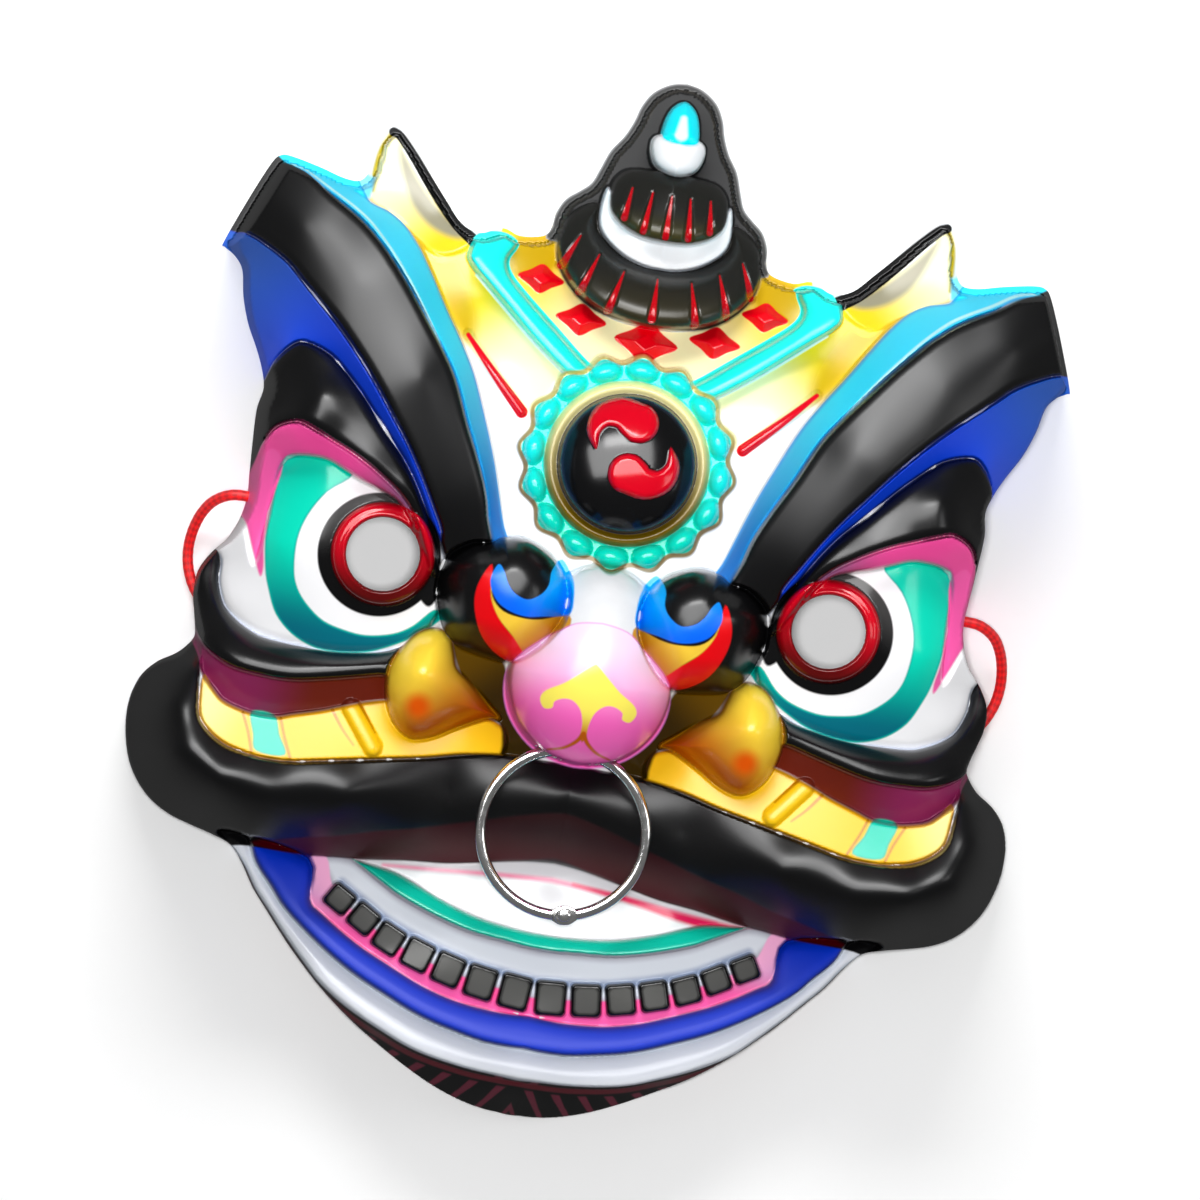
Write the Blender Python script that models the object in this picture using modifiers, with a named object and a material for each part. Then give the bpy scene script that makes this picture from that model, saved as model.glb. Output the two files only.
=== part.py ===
"""Lion mask: one vacuum-formed plastic sheet, a hinged ring through its nose and a round elastic head cord.

The mask lies face up on its rim. +Z points out of the face, +Y points to the crest, and the origin is
on the floor under the middle of the face. The face is drawn on a pattern, as a mould maker draws it:
columns count from the middle to the side, rows from the nose up and down, and steps from the rim to the
tip of the nose.
"""

import math

import bmesh
import bpy
import numpy as np
from mathutils import Matrix, Vector
from mathutils.geometry import delaunay_2d_cdt

for old in list(bpy.data.objects):
    bpy.data.objects.remove(old, do_unlink=True)

# Driving dimensions, in metres
MASK_WIDTH = 0.2435
MASK_HEIGHT = 0.2865
MASK_DEPTH = 0.088
SHEET = 0.0010
FLANGE = 0.0022
RIM_SHOULDER = 0.012
TEMPLE_ARCH = 0.0075

EYE_HOLE = 0.0200
EYE_RING = 0.0040
EYE_RING_RISE = 0.0035

RING_OUTSIDE = 0.0480
RING_WIRE = 0.0030
RING_HOLE_PLAY = 0.0010
RING_SWING = 65.0
RING_LEAVES = 20.0
RIVET_TURN = 10.5
LUG = 0.0052
RIVET = 0.0018
RIVET_HEAD = 0.0034

CORD = 0.0030
CORD_HOLE = 0.0042
KNOT = 0.0076
GAP = 0.0003

# The pattern: how many columns, rows and steps the driving dimensions are divided into
COLUMNS = 121.75
TOP_ROW = 168.2
BOTTOM_ROW = -118.3
STEPS = 88.0

# How finely the sheet is worked out, and how many faces each of its sides keeps
MESH_PITCH = 0.0016
SHEET_FACES = 3600
CURVE_POINTS = 3

COLUMN_SIZE = MASK_WIDTH / 2 / COLUMNS
ROW_SIZE = MASK_HEIGHT / (TOP_ROW - BOTTOM_ROW)
STEP_SIZE = MASK_DEPTH / STEPS
MIDDLE_ROW = (TOP_ROW + BOTTOM_ROW) / 2

# Outer edge of the sheet from the top of the crest round to the chin: (column, row)
OUTLINE = [
    (0, 168.2), (4.5, 167.2), (8.8, 164.2), (11.3, 160), (12.6, 155.5), (14.6, 151), (17.6, 146.5),
    (19.6, 141), (21.2, 137), (24, 134.3), (27.3, 131.5), (29.3, 127.5), (29.8, 123.5), (31.5, 120.5),
    (38, 119.3), (43, 120.6), (49, 118.2), (54.5, 120), (59.5, 125.3), (64.5, 131), (69.3, 137),
    (73.3, 141.3), (76.3, 143), (79.2, 141.2), (81, 137.3), (81.5, 130.5), (83.5, 126.8), (88, 126.6),
    (95, 128.4), (103, 130), (106.3, 129.8), (108.5, 127.2), (112.8, 117), (117.6, 104), (117.2, 102.5),
    (114, 100.5), (111.3, 97), (109.8, 90), (107.3, 83), (103.8, 76.5), (101.3, 71), (100, 66),
    (100.9, 60), (100.4, 50), (99.8, 42), (99.4, 36), (100.3, 30), (102.8, 24), (106.5, 19.3),
    (109.2, 14), (109.5, 8), (108.4, 3), (107.4, -1), (107.2, -4.5), (110.7, -9), (115.7, -12.4),
    (119.3, -16.5), (121.2, -21.5), (121.75, -26.5), (121.3, -32), (119.8, -38), (117.5, -43),
    (114, -47.5), (110, -50.8), (105, -53.3), (99, -55), (93, -56.5), (87.5, -58.5), (83.5, -63),
    (79.5, -69), (74.5, -74.7), (69.5, -80.3), (66, -84), (57.5, -92), (48.5, -99), (39.5, -104.7),
    (29.5, -110.3), (20, -114.6), (10, -117.4), (0, -118.3),
]

# Edges that the brow, the lids and the lips share: (column, row)
BROW_FOOT = [
    (107, 131), (98, 127.2), (90, 125), (80, 121), (75, 119.5), (70, 116.5), (65, 111), (60, 103.5),
    (55, 95.5), (50, 88), (45, 79.5), (40, 68), (36, 58), (33, 49), (30, 40), (28, 33),
]
BROW_TOP = [
    (108, 130), (98, 125), (92, 121), (85, 117), (80, 113.5), (75, 109), (70, 103.5), (65, 97.5),
    (60, 91), (55, 84.5), (50, 77), (45, 66), (41, 58), (37, 49), (35, 42), (33, 32),
]
BROW_BOTTOM = [
    (122, 108), (112, 106.5), (106, 104), (100, 100.5), (95, 96), (90, 91.5), (85, 87), (80, 82),
    (75, 76.5), (70, 70.5), (65, 64), (60, 57.5), (55, 50), (50, 41.5), (47, 36), (44.5, 28),
]
LID_TOP = [
    (101, 64), (99.5, 72), (97, 76.5), (94, 79.5), (91, 80), (86, 78.5), (82, 76), (75, 69.5),
    (70, 64), (65, 58.5), (60, 53), (55, 46), (50, 37), (47, 30), (45.5, 24),
]
LID_RIM = [
    (100, 38), (99, 48), (97.5, 53), (95, 56.5), (90, 58.5), (85, 57), (80, 55), (75, 53), (70, 50.5),
    (65, 47.5), (60, 44), (56, 40), (53, 35),
]
EYE_TOP = [
    (93.5, 30), (93, 42), (92, 47), (90, 49), (85, 49.8), (80, 49.5), (75, 47.5), (70, 45.5), (65, 44),
    (60, 42), (56, 38.5), (54, 35),
]
EYE_BOTTOM = [
    (107, 21), (104, 18), (103.5, 12), (101, 6), (97, 2.5), (92, 0), (88, -1), (80, -1.5), (70, -1.5),
    (60, 0), (55, 1.5), (49, 4),
]
LID_BOTTOM = [
    (114, 17), (110, 8), (109, 4), (108, 0), (106, -4), (103, -7), (97, -10), (90, -11), (80, -11),
    (70, -9), (62, -7), (56, -5.5), (50, -5),
]
GUM_TOP = [
    (104, -13), (100, -17), (97, -19.5), (92, -21), (88, -21.5), (82, -21.3), (78, -20), (70, -17.5),
    (65, -15.5), (58, -13), (50, -11), (38, -9), (28, -11), (20, -14),
]
LIP_TOP = [
    (105, -9), (104, -17), (103, -24), (100, -28), (95, -31), (90, -32.3), (85, -33), (80, -33),
    (75, -32.5), (70, -31.5), (60, -29.5), (50, -27.5), (40, -25.5), (30, -23), (20, -21.3),
    (8, -21), (-15, -21),
]
LIP_BOTTOM = [
    (97, -61), (85, -58), (70, -57.5), (60, -56.5), (50, -55.5), (40, -54), (30, -53), (22, -51.5),
    (15, -50), (10, -49), (0, -48), (-15, -49),
]
TONGUE_EDGE = [
    (53, -56.5), (45, -57.3), (40, -58.5), (30, -62.5), (20, -65.5), (10, -67), (0, -67.5),
    (-15, -66.5),
]
TONGUE_RIM = [
    (55, -56), (45, -61.5), (40, -64), (30, -67.5), (20, -70), (10, -71), (0, -71.7), (-15, -70.8),
]
GUM_LINE = [
    (66, -58), (64, -69), (60, -72.5), (50, -78.5), (40, -83), (30, -87), (20, -89.5), (8, -90.5),
    (-15, -90.3),
]
JAW_RIM = [
    (84, -55), (80, -62), (75, -67.5), (70, -73), (60, -80.5), (50, -86.5), (40, -91), (30, -95),
    (20, -97.5), (8, -99.3), (-15, -98.6),
]
CHIN = [
    (92, -55), (84, -62), (79, -69), (74, -74.5), (69, -80), (62, -87), (57, -91.5), (49, -96.5),
    (39, -101), (30, -104.5), (20, -106.5), (8, -107.5), (-15, -107),
]
TOOTH_LINE = [
    (0, -84.7), (14.5, -83.3), (24.3, -81.3), (33, -78.8), (41.5, -75.8), (48.8, -71.8), (56.3, -67.5),
]

# Height of the sheet between the raised forms, mirrored: (column, row, step)
GROUND = [
    (0, 160, 9), (0, 140, 12), (0, 118, 22), (24, 120, 18), (0, 98, 31), (30, 100, 32), (40, 113, 25),
    (47, 100, 30), (60, 113, 24), (74, 119, 19), (95, 126, 8), (18, 88, 38), (38, 88, 40), (44, 78, 44),
    (35, 60, 49), (28, 42, 53), (0, 45, 51), (0, 33, 56), (12, 30, 56), (30, 2, 50), (30, -8, 48),
    (20, -19, 46), (8, -22, 45), (0, -23, 45), (60, -9, 57), (75, -15, 55), (90, -16, 52), (103, -9, 44),
    (107, -4, 34), (0, -52, 32), (30, -54, 33), (55, -58, 30), (75, -60, 24), (0, -61, 36), (30, -61, 35),
    (0, -77, 36), (30, -73, 35), (50, -66, 31), (66, -62, 27), (0, -86, 36), (40, -78, 33), (60, -70, 28),
    (0, -110, 25), (40, -101, 20), (60, -88, 16), (80, -68, 12), (0, -117, 8), (40, -104, 9),
]

# Raised forms, from the lowest up. Each has an outline, the knots that its crest passes through
# as (column, row, step), the width of its shoulder, how far that falls, and the width of its edge
FORMS = {
    "ear": dict(
        outline=[
            (51, 115.5), (60, 123.6), (65, 129.2), (70, 135.4), (73.7, 139.7), (76.4, 141), (78.6, 139),
            (79.6, 134), (80, 127), (82, 121), (75, 118), (66, 113), (58, 110),
        ],
        knots=[(76, 139, 12), (70, 130, 14), (78, 125, 15), (62, 120, 18), (55, 115, 24), (72, 119, 19)],
        shoulder=0.0015, fall=0.001, edge=0.0012,
    ),
    "brow_wall": dict(
        outline=BROW_FOOT + BROW_TOP[::-1],
        knots=[
            (98, 127, 12), (80, 121, 24), (65, 111, 32), (50, 88, 45), (40, 68, 51), (33, 49, 55),
            (28, 36, 58), (101, 126, 46), (92, 121, 54), (75, 109, 63), (60, 91, 68), (50, 77, 70),
            (41, 58, 69), (34, 36, 65),
        ],
        shoulder=0.0024, fall=0.0018, edge=0.0010,
    ),
    "brow_side": dict(
        outline=BROW_BOTTOM + LID_TOP[::-1] + [(105, 60), (112, 72), (118, 88), (124, 103)],
        knots=[
            (116, 107, 42), (95, 96, 63), (75, 76.5, 73), (60, 57.5, 75), (50, 41.5, 71), (45, 29, 65),
            (91, 81, 58), (97, 77, 50), (101, 68, 34), (82, 76, 62), (70, 64, 66), (60, 53, 67),
            (50, 37, 65), (46, 26, 62), (116, 101, 30), (111, 92, 34), (107, 83, 34), (103, 75, 32),
        ],
        shoulder=0.0010, fall=0.0005, edge=0.0010,
    ),
    "brow": dict(
        outline=BROW_TOP + BROW_BOTTOM[::-1] + [(124, 112), (114, 131)],
        knots=[
            (103, 127, 54), (85, 117, 64), (65, 97.5, 72), (50, 77, 74), (40, 55, 73), (34, 36, 68),
            (116, 107, 46), (95, 96, 67), (75, 76.5, 77), (60, 57.5, 79), (50, 41.5, 75), (45, 30, 68),
            (108, 117, 55), (98, 111, 64), (80, 98, 73), (60, 76, 79),
        ],
        shoulder=0.0026, fall=0.0022, edge=0.0010,
    ),
    "eyeball": dict(
        outline=EYE_BOTTOM + [
            (44, 13), (43, 22), (46, 32), (54, 42), (65, 50), (80, 56), (92, 54), (99, 44), (101.5, 33),
            (105, 26),
        ],
        knots=[
            (62, 27, 62), (62, 44, 60), (80, 30, 61), (90, 25, 56), (99, 25, 44), (103, 18, 36),
            (85, 5, 54), (70, 3, 58), (55, 5, 58), (97, 8, 46), (80, 46, 60), (48, 18, 60), (97, 38, 46),
        ],
        shoulder=0.0030, fall=0.0020, edge=0.0010,
    ),
    "lid": dict(
        outline=LID_TOP[::-1] + [(106, 58), (106, 36), (101, 34)] + LID_RIM + [(50, 29), (47.5, 24)],
        knots=[
            (91, 79, 60), (80, 74, 66), (70, 63, 70), (60, 52, 71), (50, 36, 68), (46, 26, 64),
            (85, 67, 72), (95, 62, 60), (99, 50, 46), (90, 60, 70), (80, 56.5, 73), (70, 52, 74),
            (60, 45.5, 73), (97, 52, 58), (99.5, 42, 44),
        ],
        shoulder=0.0030, fall=0.0024, edge=0.0010,
    ),
    "lid_rim": dict(
        outline=LID_RIM + EYE_TOP[::-1] + [(95, 18), (99, 28)],
        knots=[
            (90, 54, 65), (80, 53, 68), (70, 48, 69), (60, 43, 68), (96, 50, 56), (97, 40, 49),
            (96, 28, 46), (94, 19, 47),
        ],
        shoulder=0.0024, fall=0.0018, edge=0.0010,
    ),
    "lower_lid": dict(
        outline=EYE_BOTTOM + LID_BOTTOM[::-1],
        knots=[(107, 15, 36), (106, 4, 44), (100, -2, 55), (90, -6, 61), (75, -6, 64), (60, -3, 65)],
        shoulder=0.0048, fall=0.0055, edge=0.0010,
    ),
    "gum": dict(
        outline=GUM_TOP + LIP_TOP[:-2][::-1],
        knots=[
            (100, -20, 55), (90, -26, 58), (75, -25, 60), (60, -22, 60), (45, -20, 57), (30, -17, 53),
            (20, -17, 49),
        ],
        shoulder=0.0012, fall=0.0008, edge=0.0010,
    ),
    "lip": dict(
        outline=LIP_TOP + LIP_BOTTOM[::-1] + [
            (112, -57), (122, -50), (129, -34), (128, -16), (119, -7), (109, -1),
        ],
        knots=[
            (0, -27, 51), (18, -28, 51), (32, -33, 51.5), (42, -36, 56.5), (60, -40, 65), (80, -43, 68),
            (95, -42, 68),
            (108, -36, 61), (111, -22, 56), (107, -12, 48), (0, -34, 50), (20, -39, 49), (40, -46, 49),
            (60, -50.5, 46), (85, -54, 41), (0, -48, 34), (20, -51, 34), (40, -54, 33), (60, -56.5, 31),
            (85, -58, 22), (0, -22, 47), (20, -21.8, 48.5), (40, -25.5, 55), (60, -29.5, 61),
            (80, -33, 64), (95, -31, 63), (102, -24, 60), (103, -16, 54), (121, -26, 16), (119.5, -38, 15),
            (112, -49.5, 14), (99, -55, 16), (118, -15, 18), (109, -7, 24),
        ],
        shoulder=0.0010, fall=0.0006, edge=0.0010,
    ),
    "tongue_rim": dict(
        outline=TONGUE_EDGE + TONGUE_RIM[::-1],
        knots=[(0, -69.5, 41), (30, -65, 40), (50, -58.5, 36)],
        shoulder=0.0018, fall=0.0016, edge=0.0008,
    ),
    "jaw_rim": dict(
        outline=GUM_LINE + JAW_RIM[::-1],
        knots=[(0, -95, 44), (40, -87, 40), (62, -74, 33), (80, -59, 24)],
        shoulder=0.0042, fall=0.0038, edge=0.0010,
    ),
    "chin": dict(
        outline=JAW_RIM + CHIN[::-1],
        knots=[(0, -103, 38), (40, -96, 34), (62, -83, 27), (80, -66, 18), (88, -57, 16)],
        shoulder=0.0040, fall=0.0034, edge=0.0012,
    ),
    "rib": dict(
        outline=[
            (49, 118), (51.5, 112), (50, 108.7), (45, 104.3), (40, 100), (30, 91.3), (20, 83.8), (12, 79),
            (8, 84), (15, 87), (25, 95), (35, 103), (40, 108), (41.2, 112), (39.5, 115.5), (39.2, 118),
            (43, 119.4),
        ],
        knots=[(46, 115, 33), (44, 107, 38), (30, 94, 44), (17, 85, 47)],
        shoulder=0.0036, fall=0.0030, edge=0.0010,
    ),
    "tier_lower": dict(
        outline=[
            (-10, 100.8), (0, 100.3), (9, 101.3), (17, 104), (23.5, 109), (27.3, 115), (28, 121),
            (26, 127), (21.5, 131), (17.5, 131), (17, 124), (12, 119.5), (6, 117), (0, 116.4), (-10, 118),
        ],
        knots=[(0, 109, 44), (15, 111, 41), (23, 118, 33), (22, 127, 25)],
        shoulder=0.0070, fall=0.0085, edge=0.0010,
    ),
    "tier_band": dict(
        outline=[
            (-8, 117.5), (0, 116.2), (6, 116.8), (12, 119.3), (17.2, 124), (18.3, 130), (17, 136.5),
            (13, 133), (-8, 133),
        ],
        knots=[(0, 119, 35), (13, 122, 32), (17, 131, 25), (0, 130, 36)],
        shoulder=0.0015, fall=0.0010, edge=0.0008,
    ),
    "tier_upper": dict(
        outline=[
            (-8, 124), (0, 123.6), (6, 124), (11, 125.7), (15, 129), (16.2, 133), (15.8, 138), (13, 141.5),
            (8, 142.6), (0, 143), (-8, 142.6),
        ],
        knots=[(0, 130, 42), (12, 132, 37), (0, 139, 37), (13, 138, 30)],
        shoulder=0.0050, fall=0.0065, edge=0.0010,
    ),
    "pearl": dict(
        outline=[
            (-7, 150), (-5.5, 144), (0, 142), (5.5, 144), (7.6, 149), (6.3, 152.6), (0, 153.4),
            (-6.3, 152.6),
        ],
        knots=[(0, 148, 37), (5, 147, 35), (3, 152, 32)],
        shoulder=0.0055, fall=0.0080, edge=0.0008,
    ),
    "flame": dict(
        outline=[
            (-4.8, 152), (0, 151), (4.8, 152), (5, 156), (3.4, 160.6), (0, 163), (-3.4, 160.6),
            (-5, 156),
        ],
        knots=[(0, 155, 27), (0, 161, 22), (4, 156, 25)],
        shoulder=0.0036, fall=0.0050, edge=0.0008,
    ),
    "fang": dict(
        outline=[
            (54.5, -3), (54, -10), (51, -17), (46, -21), (40, -20), (33, -16), (26, -12.5), (22, -11.5),
            (26, -8), (32, -3), (36, 0), (37.5, 4), (39, 8), (43, 10), (48, 8), (52, 3),
        ],
        knots=[(45, -3, 73), (45, -14, 69), (34, -9, 62), (26, -10.5, 54), (45, 7, 66), (52, -5, 69)],
        shoulder=0.0075, fall=0.0120, edge=0.0010,
    ),
    "curl": dict(
        outline=[
            (15, 33.5), (20, 36.5), (25, 37.8), (30, 37), (33, 35.3), (38, 34.5), (43, 31), (45, 27),
            (45.5, 21), (44, 15), (41, 9), (37, 6), (33, 5), (28, 4.3), (23, 4), (19, 6), (14, 11),
            (10.5, 17), (9.5, 23), (11, 28.5),
        ],
        knots=[(24, 21, 80), (35, 22, 76), (24, 32, 78), (14, 22, 76), (26, 9, 76), (41, 18, 70)],
        shoulder=0.0100, fall=0.0170, edge=0.0010,
    ),
}

# The nose is a ball whose top runs up into the bridge: (column, row) of its middle and its steps
NOSE = dict(column=0, row=2, radius=22.5, reach=33.0, waist=61.0, tip=88.0)

# The boss on the forehead, from its middle outwards, and how its base leans back
BOSS = dict(column=0, row=62.5, step=48.5, lean=0.2)
BOSS_DOME = 0.0188
BOSS_DOME_RISE = 0.0125
BOSS_RING = 0.0226
BOSS_RING_RISE = 0.0034
BEAD_CIRCLE = 0.0257
BEAD = 0.0064
BEAD_RISE = 0.0048
BEADS = 16
SKIRT = 0.0290
SKIRT_RISE = 0.0012
SCALLOP = 0.0012
DOME_SEAT = 0.0027

# Small raised ornament
TEETH = 7
TOOTH_PITCH = 0.0096
TOOTH_WIDTH = 0.0080
TOOTH_HEIGHT = 0.0098
TOOTH_CORNER = 0.0014
TOOTH_TAPER = 0.25
TOOTH_RISE = 0.0028
DIAMONDS = [(0, 96, 8.2, 5.6), (18.5, 99.4, 6.6, 4.1), (31, 108.6, 6.0, 3.6)]  # column, row, half sizes
DIAMOND_RISE = 0.0030
EAR_RIDGE = [(51, 116.4), (55, 119.3), (60, 124.3), (65, 130), (70, 136), (74.5, 140.6)]
EAR_RIDGE_WIDTH = 0.0026
EAR_RIDGE_RISE = 0.0028
STRIPE = [(48, 89.5), (30.5, 71.5)]
STRIPE_WIDTH = 0.0030
STRIPE_RISE = 0.0016
GUM_ROLL = [(62.5, -15.5), (55, -25)]
GUM_ROLL_WIDTH = 0.0050
GUM_ROLL_RISE = 0.0022
COMMA = [(2, 75.2), (-4, 77.3), (-9, 75.5), (-11, 71), (-9.5, 66)]
COMMA_WIDTH = 0.0112
COMMA_RISE = 0.0014
FLUTES = 4
FLUTE_DEPTH = 0.0014

# Rows between which the flange dies away, and between which the rim arches up at the temple
FLANGE_ROWS = (100, 106)
TEMPLE_ROWS = (-9, 32)

# Where the ring and the cord pass the sheet. The ring's circle laps over the nose's by RING_ENTRY.
RING_ENTRY = 0.0040
RING_BED = 54.0
CORD_HOLE_PLACE = (99.4, 36.0, 16.0)

# The head cord's route at the left, from the knot to the middle of the hollow, in metres: (x, y, z)
CORD_ROUTE = [
    (-0.0974, 0.01125, 0.0160), (-0.1035, 0.0109, 0.0152), (-0.1080, 0.0086, 0.0116),
    (-0.1108, 0.0048, 0.0076), (-0.1124, -0.0002, 0.0044), (-0.1128, -0.0056, 0.0024),
    (-0.1118, -0.0110, 0.0017), (-0.1090, -0.0165, 0.0017), (-0.1040, -0.0215, 0.0017),
    (-0.0950, -0.0262, 0.0017), (-0.0800, -0.0296, 0.0017), (-0.0600, -0.0302, 0.0017),
    (-0.0400, -0.0282, 0.0017), (-0.0200, -0.0250, 0.0017), (0.0, -0.0236, 0.0017),
]
CORD_POINTS_PER_SPAN = 3

PLASTIC = dict(color=(0.02, 0.02, 0.022), roughness=0.32, metallic=0.0)
STEEL = dict(color=(0.78, 0.78, 0.80), roughness=0.18, metallic=1.0)
ELASTIC = dict(color=(0.80, 0.01, 0.01), roughness=0.62, metallic=0.0)

parts = bpy.data.collections.new("lion_mask")
cutters = bpy.data.collections.new("cutters")
bpy.context.scene.collection.children.link(parts)
bpy.context.scene.collection.children.link(cutters)


def face_point(column, row, step=0.0):
    """Place on the face, in metres, of a point of the pattern."""
    return (column * COLUMN_SIZE, (row - MIDDLE_ROW) * ROW_SIZE, step * STEP_SIZE)


def face_points(table):
    """Places, in metres, of a table of pattern points, as an array with a column each for x, y and any z."""
    return np.array([face_point(*line)[: len(line)] for line in table])


def smooth_line(points, closed, per_span=CURVE_POINTS):
    """Catmull-Rom curve through points, an array of rows."""
    if closed:
        ends = np.vstack([points[-1:], points, points[:2]])
    else:
        ends = np.vstack([2 * points[:1] - points[1:2], points, 2 * points[-1:] - points[-2:-1]])
    a, b, c, d = ends[:-3], ends[1:-2], ends[2:-1], ends[3:]
    share = (np.arange(per_span) / per_span)[None, :, None]
    a, b, c, d = (part[:, None, :] for part in (a, b, c, d))
    line = 0.5 * (
        2 * b + (c - a) * share + (2 * a - 5 * b + 4 * c - d) * share**2 + (3 * b - a - 3 * c + d) * share**3
    )
    line = line.reshape(-1, points.shape[1])
    return line if closed else np.vstack([line, points[-1:]])


def line_distance(x, y, line):
    """Distance of each place to an open line, and the share of the line's length at its nearest point."""
    lengths = np.hypot(*np.diff(line, axis=0).T)
    starts = np.concatenate([[0], np.cumsum(lengths)])
    best = np.full(x.shape, np.inf)
    share = np.zeros(x.shape)
    for (ax, ay), (bx, by), length, start in zip(line[:-1], line[1:], lengths, starts):
        along = np.clip(((x - ax) * (bx - ax) + (y - ay) * (by - ay)) / max(length**2, 1e-18), 0, 1)
        away = np.hypot(x - ax - along * (bx - ax), y - ay - along * (by - ay))
        nearer = away < best
        best = np.where(nearer, away, best)
        share = np.where(nearer, (start + along * length) / starts[-1], share)
    return best, share


def inside_distance(x, y, loop):
    """Distance of each place to a closed loop, above zero inside it."""
    closed = np.vstack([loop, loop[:1]])
    away, _ = line_distance(x, y, closed)
    inside = np.zeros(x.shape, bool)
    for (ax, ay), (bx, by) in zip(closed[:-1], closed[1:]):
        if ay != by:
            crosses = ((ay > y) != (by > y)) & (x < ax + (y - ay) * (bx - ax) / (by - ay))
            inside ^= crosses
    return np.where(inside, away, -away)


def knot_surface(knots, x, y):
    """Thin-plate surface through knots, rows of x, y and z, at each place."""

    def bend(squared):
        return np.where(squared > 0, squared * np.log(np.maximum(squared, 1e-18)), 0)

    scale = MASK_WIDTH / 2
    kx, ky, kz = knots.T / scale
    count = len(knots)
    system = np.zeros((count + 3, count + 3))
    system[:count, :count] = bend((kx[:, None] - kx) ** 2 + (ky[:, None] - ky) ** 2)
    system[:count, count:] = np.column_stack([np.ones(count), kx, ky])
    system[count:, :count] = system[:count, count:].T
    weights = np.linalg.solve(system, np.concatenate([kz, np.zeros(3)]))
    height = weights[count] + weights[count + 1] * x / scale + weights[count + 2] * y / scale
    for weight, px, py in zip(weights, kx, ky):
        height = height + weight * bend((x / scale - px) ** 2 + (y / scale - py) ** 2)
    return height * scale


def ease(value, start, end):
    """Smooth step from 0 at start to 1 at end."""
    share = np.clip((value - start) / (end - start), 0, 1)
    return share * share * (3 - 2 * share)


def round_over(share):
    """Quarter round: 0 at share 0, rising steeply and levelling off to 1 at share 1."""
    return np.sqrt(1 - (1 - np.clip(share, 0, 1)) ** 2)


def raise_form(height, x, y, form):
    """Height with one raised form laid over it. Only the places near the form are worked out."""
    loop = smooth_line(face_points(form["outline"]), closed=True)
    lap = form["edge"]
    near = (
        (x > loop[:, 0].min() - lap)
        & (x < loop[:, 0].max() + lap)
        & (y > loop[:, 1].min() - lap)
        & (y < loop[:, 1].max() + lap)
    )
    px, py = x[near], y[near]
    inside = inside_distance(px, py, loop)
    crest = knot_surface(face_points(form["knots"]), px, py)
    crest = crest - form["fall"] * (1 - round_over(inside / form["shoulder"]))
    cover = ease(inside, -form["edge"] / 2, form["edge"] / 2)
    height[near] += cover * (crest - height[near])
    return height


def raise_nose(height, x, y):
    """Height with the ball of the nose, whose upper side runs out along the bridge."""
    cx, cy, waist = face_point(NOSE["column"], NOSE["row"], NOSE["waist"])
    radius = NOSE["radius"] * COLUMN_SIZE
    reach = np.where(y > cy, NOSE["reach"] * ROW_SIZE, radius)
    away = np.hypot((x - cx) / radius, (y - cy) / reach)
    dome = np.sqrt(np.clip(1 - away**2, 0, 1))
    ball = waist + (NOSE["tip"] * STEP_SIZE - waist) * dome
    slide = height + (NOSE["tip"] * STEP_SIZE - height) * dome**1.15
    upper = ease(y - cy, 0, 0.35 * radius)
    raised = np.maximum(height, ball * (1 - upper) + slide * upper)
    cover = ease(1 - away, 0, 0.0010 / radius)
    return height + cover * (raised - height)


def raise_boss(height, x, y):
    """Height with the boss: scalloped skirt, ring of beads, plain ring, dome and the two commas on it."""
    cx, cy, base = face_point(BOSS["column"], BOSS["row"], BOSS["step"])
    dx, dy = x - cx, y - cy
    away = np.hypot(dx, dy)
    turn = np.arctan2(dx, -dy)
    plane = base - BOSS["lean"] * dy
    pitch = 2 * math.pi / BEADS
    off = (turn + math.pi / BEADS) % pitch - pitch / 2
    scallop = SKIRT + SCALLOP * np.cos(off * BEADS)
    cover = ease(scallop - away, -0.0005, 0.0005)
    height = height + cover * (plane + SKIRT_RISE - height)
    across = np.hypot(away * np.cos(off) - BEAD_CIRCLE, away * np.sin(off)) / (BEAD / 2)
    height = height + np.where(across < 1, BEAD_RISE * np.sqrt(np.clip(1 - across**2, 0, 1)), 0)
    ring = np.clip((away - BOSS_DOME) / (BOSS_RING - BOSS_DOME), 0, 1)
    cover = ease(BOSS_RING - away, -0.0004, 0.0004)
    height = height + cover * (plane + SKIRT_RISE + BOSS_RING_RISE * np.sin(math.pi * ring) ** 0.6 - height)
    dome = np.sqrt(np.clip(1 - (away / (BOSS_DOME * 1.06)) ** 2, 0, 1))
    dome = plane + DOME_SEAT + BOSS_DOME_RISE * dome
    cover = ease(BOSS_DOME - away, -0.0004, 0.0004)
    height = height + cover * (dome - height)
    for sign in (1, -1):
        turned = [(column * sign, BOSS["row"] + (row - BOSS["row"]) * sign) for column, row in COMMA]
        distance, share = line_distance(x, y, smooth_line(face_points(turned), False))
        half = COMMA_WIDTH / 2 * (1 - share) ** 0.8
        height = height + COMMA_RISE * round_over((half - distance) / 0.0015) * (distance < half)
    return height


def raise_ridge(height, x, y, route, width, rise):
    """Height with a half-round ridge along a route of the pattern."""
    distance, _ = line_distance(x, y, smooth_line(face_points(route), False))
    return height + rise * np.sqrt(np.clip(1 - (distance / (width / 2)) ** 2, 0, 1))


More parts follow.
